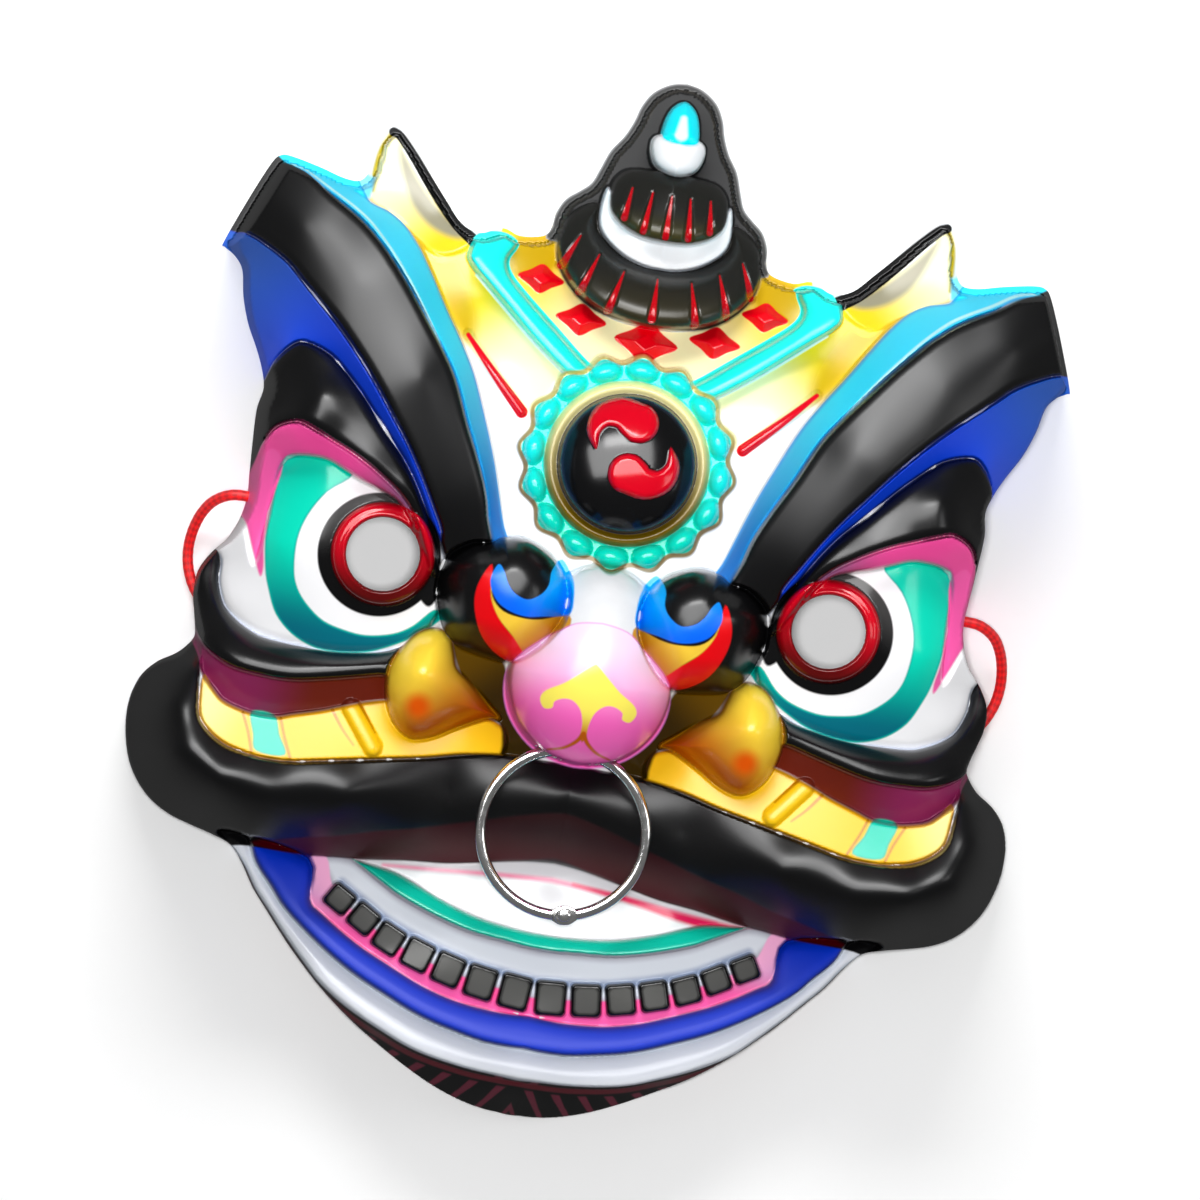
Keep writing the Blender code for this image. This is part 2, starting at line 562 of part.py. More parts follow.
def raise_teeth(height, x, y):
    """Height with a row of rounded teeth, spaced evenly along the gum and smaller to the side."""
    line = smooth_line(face_points(TOOTH_LINE), False, 8)
    lengths = np.concatenate([[0], np.cumsum(np.hypot(*np.diff(line, axis=0).T))])
    for number in range(TEETH):
        place = min((number + 0.5) * TOOTH_PITCH, lengths[-1])
        cx, cy = (np.interp(place, lengths, line[:, axis]) for axis in (0, 1))
        ahead, behind = min(place + 0.003, lengths[-1]), place - 0.003
        (bx, fx), (by, fy) = (np.interp((behind, ahead), lengths, line[:, axis]) for axis in (0, 1))
        tx, ty = fx - bx, fy - by
        length = math.hypot(tx, ty)
        size = 1 - TOOTH_TAPER * number / (TEETH - 1)
        along = ((x - cx) * tx + (y - cy) * ty) / length
        across = ((y - cy) * tx - (x - cx) * ty) / length
        over = np.hypot(
            np.maximum(np.abs(along) - TOOTH_WIDTH * (1 + size) / 4 + TOOTH_CORNER, 0),
            np.maximum(np.abs(across) - TOOTH_HEIGHT * size / 2 + TOOTH_CORNER, 0),
        )
        height = height + TOOTH_RISE * ease(TOOTH_CORNER - over, -0.0004, 0.0007)
    return height


def raise_diamonds(height, x, y):
    """Height with the low pyramids between the ribs."""
    for column, row, half_width, half_height in DIAMONDS:
        cx, cy, _ = face_point(column, row)
        off = np.abs(x - cx) / (half_width * COLUMN_SIZE) + np.abs(y - cy) / (half_height * ROW_SIZE)
        height = height + DIAMOND_RISE * np.clip((1 - off) * 1.6, 0, 1)
    return height


def cut_flutes(height, x, y):
    """Height with the flutes that run down the two tiers of the crest."""
    for low, high, half, middle in ((101, 115, 28.5, 133), (124.5, 137, 16.5, 142)):
        _, bottom, _ = face_point(0, low)
        _, top, _ = face_point(0, high)
        _, pivot, _ = face_point(0, middle)
        lean = np.arctan2(x / (half * COLUMN_SIZE), (pivot - y) / (pivot - bottom))
        wave = np.abs((lean * FLUTES * 2 / math.pi + 0.5) % 1 - 0.5)
        reach = np.hypot(x / (half * COLUMN_SIZE), (pivot - y) / (pivot - bottom))
        inner = (pivot - top) / (pivot - bottom)
        zone = ease(reach, inner, inner + 0.12) * ease(1.02 - reach, 0, 0.1) * (y < pivot)
        height = height - FLUTE_DEPTH * zone * (1 - ease(wave, 0.02, 0.14))
    return height


def face_height(x, y, edge):
    """Outer height of the sheet at each place. edge is how far each place lies inside the outline."""
    side = np.abs(x)
    knots = face_points(GROUND)
    mirrored = knots[knots[:, 0] > 0] * (-1, 1, 1)
    height = knot_surface(np.vstack([knots, mirrored]), x, y)
    for name, form in FORMS.items():
        if name == "tier_lower":
            height = raise_ridge(height, side, y, EAR_RIDGE, EAR_RIDGE_WIDTH, EAR_RIDGE_RISE)
            height = raise_ridge(height, side, y, STRIPE, STRIPE_WIDTH, STRIPE_RISE)
            height = raise_ridge(height, side, y, GUM_ROLL, GUM_ROLL_WIDTH, GUM_ROLL_RISE)
        if name == "fang":
            height = cut_flutes(height, x, y)
            height = raise_nose(height, x, y)
        height = raise_form(height, side, y, form)
    ex, ey, _ = face_point(*EYE)
    ring = (np.hypot(side - ex, y - ey) - EYE_HOLE / 2) / EYE_RING
    height = height + EYE_RING_RISE * np.sqrt(np.clip(1 - (2 * ring - 1) ** 2, 0, 1))
    height = height + EYE_RING_RISE * 0.5 * ease(-ring, -0.5, 0)
    height = raise_boss(height, x, y)
    height = raise_teeth(height, side, y)
    height = raise_diamonds(height, side, y)
    return rim_height(height, y, edge)


def rim_foot(y):
    """Width of the flange and height of the sheet's outer edge, along the rim."""
    (_, flange_start, _), (_, flange_end, _) = (face_point(0, row) for row in FLANGE_ROWS)
    (_, arch_start, _), (_, arch_end, _) = (face_point(0, row) for row in TEMPLE_ROWS)
    flange = FLANGE * ease(y, flange_start, flange_end)
    share = np.clip((y - arch_start) / (arch_end - arch_start), 0, 1)
    arch = TEMPLE_ARCH * np.sin(math.pi * share) ** 1.5
    return flange, np.where(flange > 0, np.minimum(SHEET, flange), arch)


def rim_height(height, y, edge):
    """Height brought down to the rim: a flange along the top, a rounded wall elsewhere."""
    flange, foot = rim_foot(y)
    wall = MASK_DEPTH * round_over((edge - flange) / RIM_SHOULDER)
    return np.minimum(np.maximum(height, foot), foot + wall)


def mesh_object(name, vertices, faces, collection):
    """New mesh object from plain lists."""
    mesh = bpy.data.meshes.new(name)
    mesh.from_pydata(vertices, [], faces)
    mesh.validate()
    item = bpy.data.objects.new(name, mesh)
    collection.objects.link(item)
    return item


def apply_modifiers(item):
    """The object's mesh with its modifiers worked in."""
    bpy.context.view_layer.update()
    evaluated = item.evaluated_get(bpy.context.evaluated_depsgraph_get())
    mesh = bpy.data.meshes.new_from_object(evaluated)
    item.modifiers.clear()
    item.data = mesh


def paint(item, name, color, roughness, metallic):
    """Give the object its own plain material."""
    material = bpy.data.materials.new(name)
    material.use_nodes = True
    shader = material.node_tree.nodes["Principled BSDF"]
    shader.inputs["Base Color"].default_value = (*color, 1)
    shader.inputs["Roughness"].default_value = roughness
    shader.inputs["Metallic"].default_value = metallic
    item.data.materials.clear()
    item.data.materials.append(material)


def cut(item, tool):
    """Cut a closed tool out of the object."""
    tool.hide_render = True
    tool.display_type = "WIRE"
    modifier = item.modifiers.new(tool.name, "BOOLEAN")
    modifier.operation = "DIFFERENCE"
    modifier.object = tool
    apply_modifiers(item)


def join(item, other):
    """Union of two closed objects; the second is removed."""
    modifier = item.modifiers.new(other.name, "BOOLEAN")
    modifier.operation = "UNION"
    modifier.object = other
    apply_modifiers(item)
    bpy.data.objects.remove(other, do_unlink=True)


def tube(name, points, diameter, collection, resolution=2):
    """Closed round tube along points, made of a bevelled curve and welded at its caps."""
    curve = bpy.data.curves.new(name, "CURVE")
    curve.dimensions = "3D"
    spline = curve.splines.new("POLY")
    spline.points.add(len(points) - 1)
    for point, place in zip(spline.points, points):
        point.co = (*place, 1)
    curve.bevel_depth = diameter / 2
    curve.bevel_resolution = resolution
    curve.use_fill_caps = True
    item = bpy.data.objects.new(name, curve)
    bpy.context.scene.collection.objects.link(item)
    bpy.context.view_layer.update()
    mesh = bpy.data.meshes.new_from_object(item.evaluated_get(bpy.context.evaluated_depsgraph_get()))
    bpy.data.objects.remove(item, do_unlink=True)
    work = bmesh.new()
    work.from_mesh(mesh)
    bmesh.ops.remove_doubles(work, verts=work.verts, dist=0.00001)
    bmesh.ops.recalc_face_normals(work, faces=work.faces)
    work.to_mesh(mesh)
    work.free()
    solid = bpy.data.objects.new(name, mesh)
    collection.objects.link(solid)
    return solid


def rod(name, middle, diameter, length, direction, collection, sides=24):
    """Closed cylinder about a middle point, along a direction."""
    work = bmesh.new()
    bmesh.ops.create_cone(
        work, cap_ends=True, segments=sides, radius1=diameter / 2, radius2=diameter / 2, depth=length
    )
    turn = Vector((0, 0, 1)).rotation_difference(Vector(direction)).to_matrix().to_4x4()
    turn.translation = Vector(middle)
    work.transform(turn)
    mesh = bpy.data.meshes.new(name)
    work.to_mesh(mesh)
    work.free()
    item = bpy.data.objects.new(name, mesh)
    collection.objects.link(item)
    return item


def ring_place(turn, swing=0.0, opened=0.0):
    """Point of the ring's centre line at a turn from its bottom.

    The right half may be opened about the rivet, and the ring swung up about the line through its holes.
    """
    place = Vector((RING_RADIUS * math.sin(turn), RING_MIDDLE_Y - RING_RADIUS * math.cos(turn), RING_Z))
    if opened:
        rivet = ring_place(RIVET_ANGLE)
        place = rivet + Matrix.Rotation(-opened, 3, "Z") @ (place - rivet)
    axle = Vector((0, RING_AXIS_Y, RING_Z))
    return axle + Matrix.Rotation(-swing, 3, "X") @ (place - axle)


def ring_paths():
    """Stretches of wire that pass the wall of the nose, as the ring swings and as it opens."""
    inside, outside = HOLE_TURN - 0.24, HOLE_TURN + 0.20
    swings = [
        [ring_place(turn, swing=swing) for turn in np.linspace(inside, outside, 6)]
        for swing in np.radians(np.linspace(0, RING_SWING, 8))
    ]
    openings = [
        [ring_place(turn, opened=opened) for turn in np.linspace(inside, math.pi, 8)]
        for opened in np.radians(np.linspace(0, RING_LEAVES, 5)[1:])
    ]
    return swings + openings


def level_rim(shell):
    """Bring the outer edge of the thinned sheet back to its height along the rim."""
    work = bmesh.new()
    work.from_mesh(shell.data)
    for vertex in work.verts:
        if vertex.is_boundary:
            vertex.co.z = float(rim_foot(vertex.co.y)[1])
    work.to_mesh(shell.data)
    work.free()


def build_mask_shell():
    """The formed sheet: a fine sheet raised to its height, thinned to few faces, thickened and pierced."""
    half = smooth_line(face_points(OUTLINE), False)
    steps = np.concatenate([[0], np.cumsum(np.hypot(*np.diff(half, axis=0).T))])
    places = np.linspace(0, steps[-1], int(steps[-1] / MESH_PITCH) + 1)
    right = np.column_stack([np.interp(places, steps, half[:, axis]) for axis in (0, 1)])
    loop = np.vstack([right, right[-2:0:-1] * (-1, 1)])[::-1]
    xs = np.arange(-MASK_WIDTH / 2, MASK_WIDTH / 2, MESH_PITCH) + MESH_PITCH / 2
    ys = np.arange(-MASK_HEIGHT / 2, MASK_HEIGHT / 2, MESH_PITCH)
    gx, gy = (grid.ravel() for grid in np.meshgrid(xs, ys))
    keep = inside_distance(gx, gy, loop) > MESH_PITCH * 0.6
    flat = np.vstack([loop, np.column_stack([gx[keep], gy[keep]])])
    rim = [list(range(len(loop)))]
    places, _, faces = delaunay_2d_cdt([Vector(place) for place in flat], [], rim, 1, 1e-7, False)[:3]
    places, faces = np.array([tuple(place) for place in places]), np.array([tuple(face) for face in faces])
    middles = places[faces].mean(axis=1)
    faces = faces[inside_distance(*middles.T, loop) > 0]
    x, y = places.T
    edge = inside_distance(x, y, loop)
    edge[edge < 1e-6] = 0
    z = face_height(x, y, edge)
    shell = mesh_object("mask_shell", np.column_stack([x, y, z]).tolist(), faces.tolist(), parts)
    thin = shell.modifiers.new("fewer faces", "DECIMATE")
    thin.ratio = SHEET_FACES / len(faces)
    thin.use_symmetry = True
    thin.symmetry_axis = "X"
    apply_modifiers(shell)
    level_rim(shell)
    thick = shell.modifiers.new("sheet", "SOLIDIFY")
    thick.thickness = SHEET
    thick.offset = -1
    apply_modifiers(shell)
    for vertex in shell.data.vertices:
        vertex.co.z = max(vertex.co.z, 0.0)
    for sign in (-1, 1):
        ex, ey, ez = face_point(*EYE, NOSE["waist"])
        cut(shell, rod("eye_cutter", (sign * ex, ey, ez), EYE_HOLE, 0.030, (0, 0, 1), cutters, 32))
        hx, hy, hz = face_point(*CORD_HOLE_PLACE)
        cut(shell, rod("cord_cutter", (sign * hx, hy, hz), CORD_HOLE, 0.008, (1, 0, 0), cutters, 16))
        for path in ring_paths():
            mirrored = [(sign * place.x, place.y, place.z) for place in path]
            cut(shell, tube("ring_cutter", mirrored, RING_WIRE + 2 * RING_HOLE_PLAY, cutters, 2))
    paint(shell, "painted_plastic", **PLASTIC)
    return shell


def build_ring_half(name, sign):
    """Half of the nose ring with its flat lug at the rivet. The left half, sign -1, carries the rivet."""
    rivet = ring_place(RIVET_ANGLE)
    clear = (LUG / 2 + GAP) / RING_RADIUS
    seam = math.pi - GAP / 2 / RING_RADIUS
    start = RIVET_ANGLE + sign * clear
    end = sign * seam
    turns = np.linspace(start, end, 26)
    half = tube(name, [ring_place(turn) for turn in turns], RING_WIRE, parts, 2)
    level = RING_Z + sign * (LUG_THICK + GAP) / 2
    lug = rod("lug", (rivet.x, rivet.y, level), LUG, LUG_THICK, (0, 0, 1), parts, 20)
    tab_from = Vector((rivet.x, rivet.y, level))
    tab_to = ring_place(RIVET_ANGLE + sign * clear * 1.5)
    tab_to.z = level
    tab = bmesh.new()
    bmesh.ops.create_cube(tab, size=1)
    tab_length = (tab_to - tab_from).length
    bmesh.ops.scale(tab, vec=(tab_length, RING_WIRE * 0.8, LUG_THICK), verts=tab.verts)
    turn = Vector((1, 0, 0)).rotation_difference((tab_to - tab_from).normalized()).to_matrix().to_4x4()
    turn.translation = (tab_from + tab_to) / 2
    tab.transform(turn)
    mesh = bpy.data.meshes.new("tab")
    tab.to_mesh(mesh)
    tab.free()
    bridge = bpy.data.objects.new("tab", mesh)
    parts.objects.link(bridge)
    join(lug, bridge)
    if sign > 0:
        bore = rod("rivet_cutter", (rivet.x, rivet.y, level), RIVET + 2 * GAP, 0.006, (0, 0, 1), cutters, 16)
        cut(lug, bore)
    join(half, lug)
    if sign < 0:
        head = RING_WIRE / 4
        foot = RING_Z - GAP
        peak = RING_Z + LUG_THICK + GAP * 1.5
        top = peak + head / 2
        pin = rod("pin", (rivet.x, rivet.y, (foot + top) / 2), RIVET, top - foot, (0, 0, 1), parts, 16)
        cap = rod("cap", (rivet.x, rivet.y, top), RIVET_HEAD, head, (0, 0, 1), parts, 16)
        join(pin, cap)
        join(half, pin)
    paint(half, name + "_steel", **STEEL)
    return half


def build_head_elastic():
    """The head cord: out of the left hole, round the temple, across the hollow and back to the right."""
    left = np.array(CORD_ROUTE)
    route = np.vstack([left, left[-2::-1] * (-1, 1, 1)])
    line = smooth_line(route, False, CORD_POINTS_PER_SPAN)
    cord = tube("head_elastic", line.tolist(), CORD, parts, 2)
    paint(cord, "red_elastic", **ELASTIC)
    return cord


def build_knot(name, sign):
    """Knot that holds the cord behind its hole: a squat ball with a flat side to the wall."""
    hx, hy, hz = face_point(*CORD_HOLE_PLACE)
    outer = abs(CORD_ROUTE[0][0]) - GAP
    work = bmesh.new()
    bmesh.ops.create_uvsphere(work, u_segments=16, v_segments=10, radius=KNOT / 2)
    for vertex in work.verts:
        vertex.co = Vector((vertex.co.x * 0.72, vertex.co.y, vertex.co.z))
    reach = KNOT / 2 * 0.72
    flat = reach * 0.75
    bmesh.ops.bisect_plane(
        work, geom=list(work.verts) + list(work.edges) + list(work.faces),
        plane_co=(flat, 0, 0), plane_no=(1, 0, 0), clear_outer=True,
    )
    bmesh.ops.holes_fill(work, edges=[edge for edge in work.edges if edge.is_boundary])
    for vertex in work.verts:
        vertex.co = Vector((sign * (vertex.co.x - flat + outer), vertex.co.y + hy, vertex.co.z + hz))
    bmesh.ops.recalc_face_normals(work, faces=work.faces)
    mesh = bpy.data.meshes.new(name)
    work.to_mesh(mesh)
    work.free()
    knot = bpy.data.objects.new(name, mesh)
    parts.objects.link(knot)
    paint(knot, name + "_red", **ELASTIC)
    return knot


# Places that follow from the sizes
EYE = (61.3, 27.0)
RING_RADIUS = (RING_OUTSIDE - RING_WIRE) / 2
_, NOSE_Y, _ = face_point(0, NOSE["row"])
NOSE_RADIUS = NOSE["radius"] * COLUMN_SIZE
NOSE_TO_RING = NOSE_RADIUS + RING_RADIUS - RING_ENTRY
RING_MIDDLE_Y = NOSE_Y - NOSE_TO_RING
HOLE_DROP = (NOSE_TO_RING**2 + RING_RADIUS**2 - (NOSE_RADIUS - SHEET / 2) ** 2) / (2 * NOSE_TO_RING)
HOLE_TURN = math.pi - math.acos(HOLE_DROP / RING_RADIUS)
RING_AXIS_Y = RING_MIDDLE_Y + HOLE_DROP
RING_Z = RING_BED * STEP_SIZE + RING_WIRE / 2
RIVET_ANGLE = math.radians(RIVET_TURN)
LUG_THICK = (RING_WIRE - GAP) / 2

build_mask_shell()
build_ring_half("nose_ring_left", -1)
build_ring_half("nose_ring_right", 1)
build_head_elastic()
build_knot("elastic_knot_left", -1)
build_knot("elastic_knot_right", 1)
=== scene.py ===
"""Looks of a formed lion mask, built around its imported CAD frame.

The mask is one vacuum-formed sheet. Its relief is worked out as one height function over the face, from the
rows and columns of a pattern. Each sub-assembly adds its raised forms to that relief and its coats of paint
to the colour scheme, and takes its own part of the finished sheet as a piece.
"""

from __future__ import annotations

import logging
import math
from dataclasses import dataclass, field
from enum import Enum
from typing import Protocol, Sequence

import bpy
import numpy as np
from mathutils import Matrix, Vector

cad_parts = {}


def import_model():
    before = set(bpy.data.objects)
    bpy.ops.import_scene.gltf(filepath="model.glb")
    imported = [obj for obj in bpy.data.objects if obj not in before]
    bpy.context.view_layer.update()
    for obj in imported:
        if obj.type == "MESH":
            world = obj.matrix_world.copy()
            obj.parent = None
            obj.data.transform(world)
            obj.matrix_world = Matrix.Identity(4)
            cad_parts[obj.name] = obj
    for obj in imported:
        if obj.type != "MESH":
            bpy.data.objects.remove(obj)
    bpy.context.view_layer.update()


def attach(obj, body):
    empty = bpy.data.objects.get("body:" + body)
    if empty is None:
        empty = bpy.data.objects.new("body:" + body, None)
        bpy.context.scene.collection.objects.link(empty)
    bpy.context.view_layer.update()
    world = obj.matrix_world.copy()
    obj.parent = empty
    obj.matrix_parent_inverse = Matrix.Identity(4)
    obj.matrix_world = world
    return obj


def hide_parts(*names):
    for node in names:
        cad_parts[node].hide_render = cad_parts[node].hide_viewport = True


LOG = logging.getLogger("lion_mask")

Array = np.ndarray
Color = tuple[float, float, float]
Table = Sequence[tuple[float, ...]]

# Sizes in metres, as in the CAD source
MASK_WIDTH = 0.2435
MASK_HEIGHT = 0.2865
MASK_DEPTH = 0.088
SHEET = 0.0010
FLANGE = 0.0022
RIM_SHOULDER = 0.012
TEMPLE_ARCH = 0.0075
EYE_HOLE = 0.0200

# The pattern: columns from the middle outwards, rows from the nose up, steps from the rim to the nose's tip
COLUMNS = 121.75
TOP_ROW = 168.2
BOTTOM_ROW = -118.3
STEPS = 88.0
COLUMN_SIZE = MASK_WIDTH / 2 / COLUMNS
ROW_SIZE = MASK_HEIGHT / (TOP_ROW - BOTTOM_ROW)
STEP_SIZE = MASK_DEPTH / STEPS
MIDDLE_ROW = (TOP_ROW + BOTTOM_ROW) / 2

# Distance between the points that the face is worked out at, the back's distance as a multiple of it, and
# the points a drawn curve has from one given point to the next
FINE_PITCH = 0.00038
BACK_PITCH = 4
CURVE_POINTS = 4

# Outer edge of the sheet from the top of the crest round to the chin: (column, row)
OUTLINE = [
    (0, 168.2), (4.5, 167.2), (8.8, 164.2), (11.3, 160), (12.6, 155.5), (14.6, 151), (17.6, 146.5),
    (19.6, 141), (21.2, 137), (24, 134.3), (27.3, 131.5), (29.3, 127.5), (29.8, 123.5), (31.5, 120.5),
    (38, 119.3), (43, 120.6), (49, 118.2), (54.5, 120), (59.5, 125.3), (64.5, 131), (69.3, 137),
    (73.3, 141.3), (76.3, 143), (79.2, 141.2), (81, 137.3), (81.5, 130.5), (83.5, 126.8), (88, 126.6),
    (95, 128.4), (103, 130), (106.3, 129.8), (108.5, 127.2), (112.8, 117), (117.6, 104), (117.2, 102.5),
    (114, 100.5), (111.3, 97), (109.8, 90), (107.3, 83), (103.8, 76.5), (101.3, 71), (100, 66),
    (100.9, 60), (100.4, 50), (99.8, 42), (99.4, 36), (100.3, 30), (102.8, 24), (106.5, 19.3),
    (109.2, 14), (109.5, 8), (108.4, 3), (107.4, -1), (107.2, -4.5), (110.7, -9), (115.7, -12.4),
    (119.3, -16.5), (121.2, -21.5), (121.75, -26.5), (121.3, -32), (119.8, -38), (117.5, -43),
    (114, -47.5), (110, -50.8), (105, -53.3), (99, -55), (93, -56.5), (87.5, -58.5), (83.5, -63),
    (79.5, -69), (74.5, -74.7), (69.5, -80.3), (66, -84), (57.5, -92), (48.5, -99), (39.5, -104.7),
    (29.5, -110.3), (20, -114.6), (10, -117.4), (0, -118.3),
]

# Edges that the brow, the lids and the lips share: (column, row)
BROW_FOOT = [
    (107, 131), (98, 127.2), (90, 125), (80, 121), (75, 119.5), (70, 116.5), (65, 111), (60, 103.5),
    (55, 95.5), (50, 88), (45, 79.5), (40, 68), (36, 58), (33, 49), (30, 40), (28, 33),
]
BROW_TOP = [
    (108, 130), (98, 125), (92, 121), (85, 117), (80, 113.5), (75, 109), (70, 103.5), (65, 97.5),
    (60, 91), (55, 84.5), (50, 77), (45, 66), (41, 58), (37, 49), (35, 42), (33, 32),
]
BROW_BOTTOM = [
    (122, 108), (112, 106.5), (106, 104), (100, 100.5), (95, 96), (90, 91.5), (85, 87), (80, 82),
    (75, 76.5), (70, 70.5), (65, 64), (60, 57.5), (55, 50), (50, 41.5), (47, 36), (44.5, 28),
]
LID_TOP = [
    (101, 64), (99.5, 72), (97, 76.5), (94, 79.5), (91, 80), (86, 78.5), (82, 76), (75, 69.5),
    (70, 64), (65, 58.5), (60, 53), (55, 46), (50, 37), (47, 30), (45.5, 24),
]
LID_RIM = [
    (100, 38), (99, 48), (97.5, 53), (95, 56.5), (90, 58.5), (85, 57), (80, 55), (75, 53), (70, 50.5),
    (65, 47.5), (60, 44), (56, 40), (53, 35),
]
EYE_TOP = [
    (93.5, 30), (93, 42), (92, 47), (90, 49), (85, 49.8), (80, 49.5), (75, 47.5), (70, 45.5), (65, 44),
    (60, 42), (56, 38.5), (54, 35),
]
EYE_BOTTOM = [
    (107, 21), (104, 18), (103.5, 12), (101, 6), (97, 2.5), (92, 0), (88, -1), (80, -1.5), (70, -1.5),
    (60, 0), (55, 1.5), (49, 4),
]
LID_BOTTOM = [
    (114, 17), (110, 8), (109, 4), (108, 0), (106, -4), (103, -7), (97, -10), (90, -11), (80, -11),
    (70, -9), (62, -7), (56, -5.5), (50, -5),
]
GUM_TOP = [
    (104, -13), (100, -17), (97, -19.5), (92, -21), (88, -21.5), (82, -21.3), (78, -20), (70, -17.5),
    (65, -15.5), (58, -13), (50, -11), (38, -9), (28, -11), (20, -14),
]
LIP_TOP = [
    (105, -9), (104, -17), (103, -24), (100, -28), (95, -31), (90, -32.3), (85, -33), (80, -33),
    (75, -32.5), (70, -31.5), (60, -29.5), (50, -27.5), (40, -25.5), (30, -23), (20, -21.3),
    (8, -21), (-15, -21),
]
LIP_BOTTOM = [
    (97, -61), (85, -58), (70, -57.5), (60, -56.5), (50, -55.5), (40, -54), (30, -53), (22, -51.5),
    (15, -50), (10, -49), (0, -48), (-15, -49),
]
TONGUE_EDGE = [
    (53, -56.5), (45, -57.3), (40, -58.5), (30, -62.5), (20, -65.5), (10, -67), (0, -67.5),
    (-15, -66.5),
]
TONGUE_RIM = [
    (55, -56), (45, -61.5), (40, -64), (30, -67.5), (20, -70), (10, -71), (0, -71.7), (-15, -70.8),
]
GUM_LINE = [
    (66, -58), (64, -69), (60, -72.5), (50, -78.5), (40, -83), (30, -87), (20, -89.5), (8, -90.5),
    (-15, -90.3),
]
JAW_RIM = [
    (84, -55), (80, -62), (75, -67.5), (70, -73), (60, -80.5), (50, -86.5), (40, -91), (30, -95),
    (20, -97.5), (8, -99.3), (-15, -98.6),
]
CHIN = [
    (92, -55), (84, -62), (79, -69), (74, -74.5), (69, -80), (62, -87), (57, -91.5), (49, -96.5),
    (39, -101), (30, -104.5), (20, -106.5), (8, -107.5), (-15, -107),
]
TOOTH_LINE = [
    (0, -84.7), (14.5, -83.3), (24.3, -81.3), (33, -78.8), (41.5, -75.8), (48.8, -71.8), (56.3, -67.5),
]

# Outlines of forms that are painted in one colour: (column, row)
TIER_LOWER = [
    (-10, 100.8), (0, 100.3), (9, 101.3), (17, 104), (23.5, 109), (27.3, 115), (28, 121), (26, 127),
    (21.5, 131), (17.5, 131), (17, 124), (12, 119.5), (6, 117), (0, 116.4), (-10, 118),
]
TIER_BAND = [
    (-8, 117.5), (0, 116.2), (6, 116.8), (12, 119.3), (17.2, 124), (18.3, 130), (17, 136.5), (13, 133),
    (-8, 133),
]
TIER_UPPER = [
    (-8, 124), (0, 123.6), (6, 124), (11, 125.7), (15, 129), (16.2, 133), (15.8, 138), (13, 141.5),
    (8, 142.6), (0, 143), (-8, 142.6),
]
PEARL = [(-7, 150), (-5.5, 144), (0, 142), (5.5, 144), (7.6, 149), (6.3, 152.6), (0, 153.4), (-6.3, 152.6)]
FLAME = [(-4.8, 152), (0, 151), (4.8, 152), (5, 156), (3.4, 160.6), (0, 163), (-3.4, 160.6), (-5, 156)]
CURL = [
    (15, 33.5), (20, 36.5), (25, 37.8), (30, 37), (33, 35.3), (38, 34.5), (43, 31), (45, 27), (45.5, 21),
    (44, 15), (41, 9), (37, 6), (33, 5), (28, 4.3), (23, 4), (19, 6), (14, 11), (10.5, 17), (9.5, 23),
    (11, 28.5),
]
FANG = [
    (54.5, -3), (54, -10), (51, -17), (46, -21), (40, -20), (33, -16), (26, -12.5), (22, -11.5), (26, -8),
    (32, -3), (36, 0), (37.5, 4), (39, 8), (43, 10), (48, 8), (52, 3),
]

# Height of the sheet between the raised forms, mirrored: (column, row, step)
GROUND = [
    (0, 160, 9), (0, 140, 12), (0, 118, 22), (24, 120, 18), (0, 98, 31), (30, 100, 32), (40, 113, 25),
    (47, 100, 30), (60, 113, 24), (74, 119, 19), (95, 126, 8), (18, 88, 38), (38, 88, 40), (44, 78, 44),
    (35, 60, 49), (28, 42, 53), (0, 45, 51), (0, 33, 56), (12, 30, 56), (30, 2, 50), (30, -8, 48),
    (20, -19, 46), (8, -22, 45), (0, -23, 45), (60, -9, 57), (75, -15, 55), (90, -16, 52), (103, -9, 44),
    (107, -4, 34), (0, -52, 32), (30, -54, 33), (55, -58, 30), (75, -60, 24), (0, -61, 36), (30, -61, 35),
    (0, -77, 36), (30, -73, 35), (50, -66, 31), (66, -62, 27), (0, -86, 36), (40, -78, 33), (60, -70, 28),
    (0, -110, 25), (40, -101, 20), (60, -88, 16), (80, -68, 12), (0, -117, 8), (40, -104, 9),
]

# Rows between which the flange dies away, and between which the rim arches up at the temple
FLANGE_ROWS = (100, 106)
TEMPLE_ROWS = (-9, 32)

# The head cord's route at the left, from the knot to the middle of the hollow, in metres: (x, y, z)
CORD_ROUTE = [
    (-0.0974, 0.01125, 0.0160), (-0.1035, 0.0109, 0.0152), (-0.1080, 0.0086, 0.0116),
    (-0.1108, 0.0048, 0.0076), (-0.1124, -0.0002, 0.0044), (-0.1128, -0.0056, 0.0024),
    (-0.1118, -0.0110, 0.0017), (-0.1090, -0.0165, 0.0017), (-0.1040, -0.0215, 0.0017),
    (-0.0950, -0.0262, 0.0017), (-0.0800, -0.0296, 0.0017), (-0.0600, -0.0302, 0.0017),
    (-0.0400, -0.0282, 0.0017), (-0.0200, -0.0250, 0.0017), (0.0, -0.0236, 0.0017),
]

def face_point(column: float, row: float, step: float = 0.0) -> tuple[float, float, float]:
    """Place on the face, in metres, of a point of the pattern."""
    return (column * COLUMN_SIZE, (row - MIDDLE_ROW) * ROW_SIZE, step * STEP_SIZE)


def face_points(table: Table) -> Array:
    """Places, in metres, of a table of pattern points, one row each.

    Args:
        table: Pattern points as (column, row) or (column, row, step).

    Returns:
        An array with a column each for x, y and, where it is given, z.
    """
    sizes = np.array([COLUMN_SIZE, ROW_SIZE, STEP_SIZE])
    points = np.array(table, float)
    points[:, 1] -= MIDDLE_ROW
    return points * sizes[: points.shape[1]]


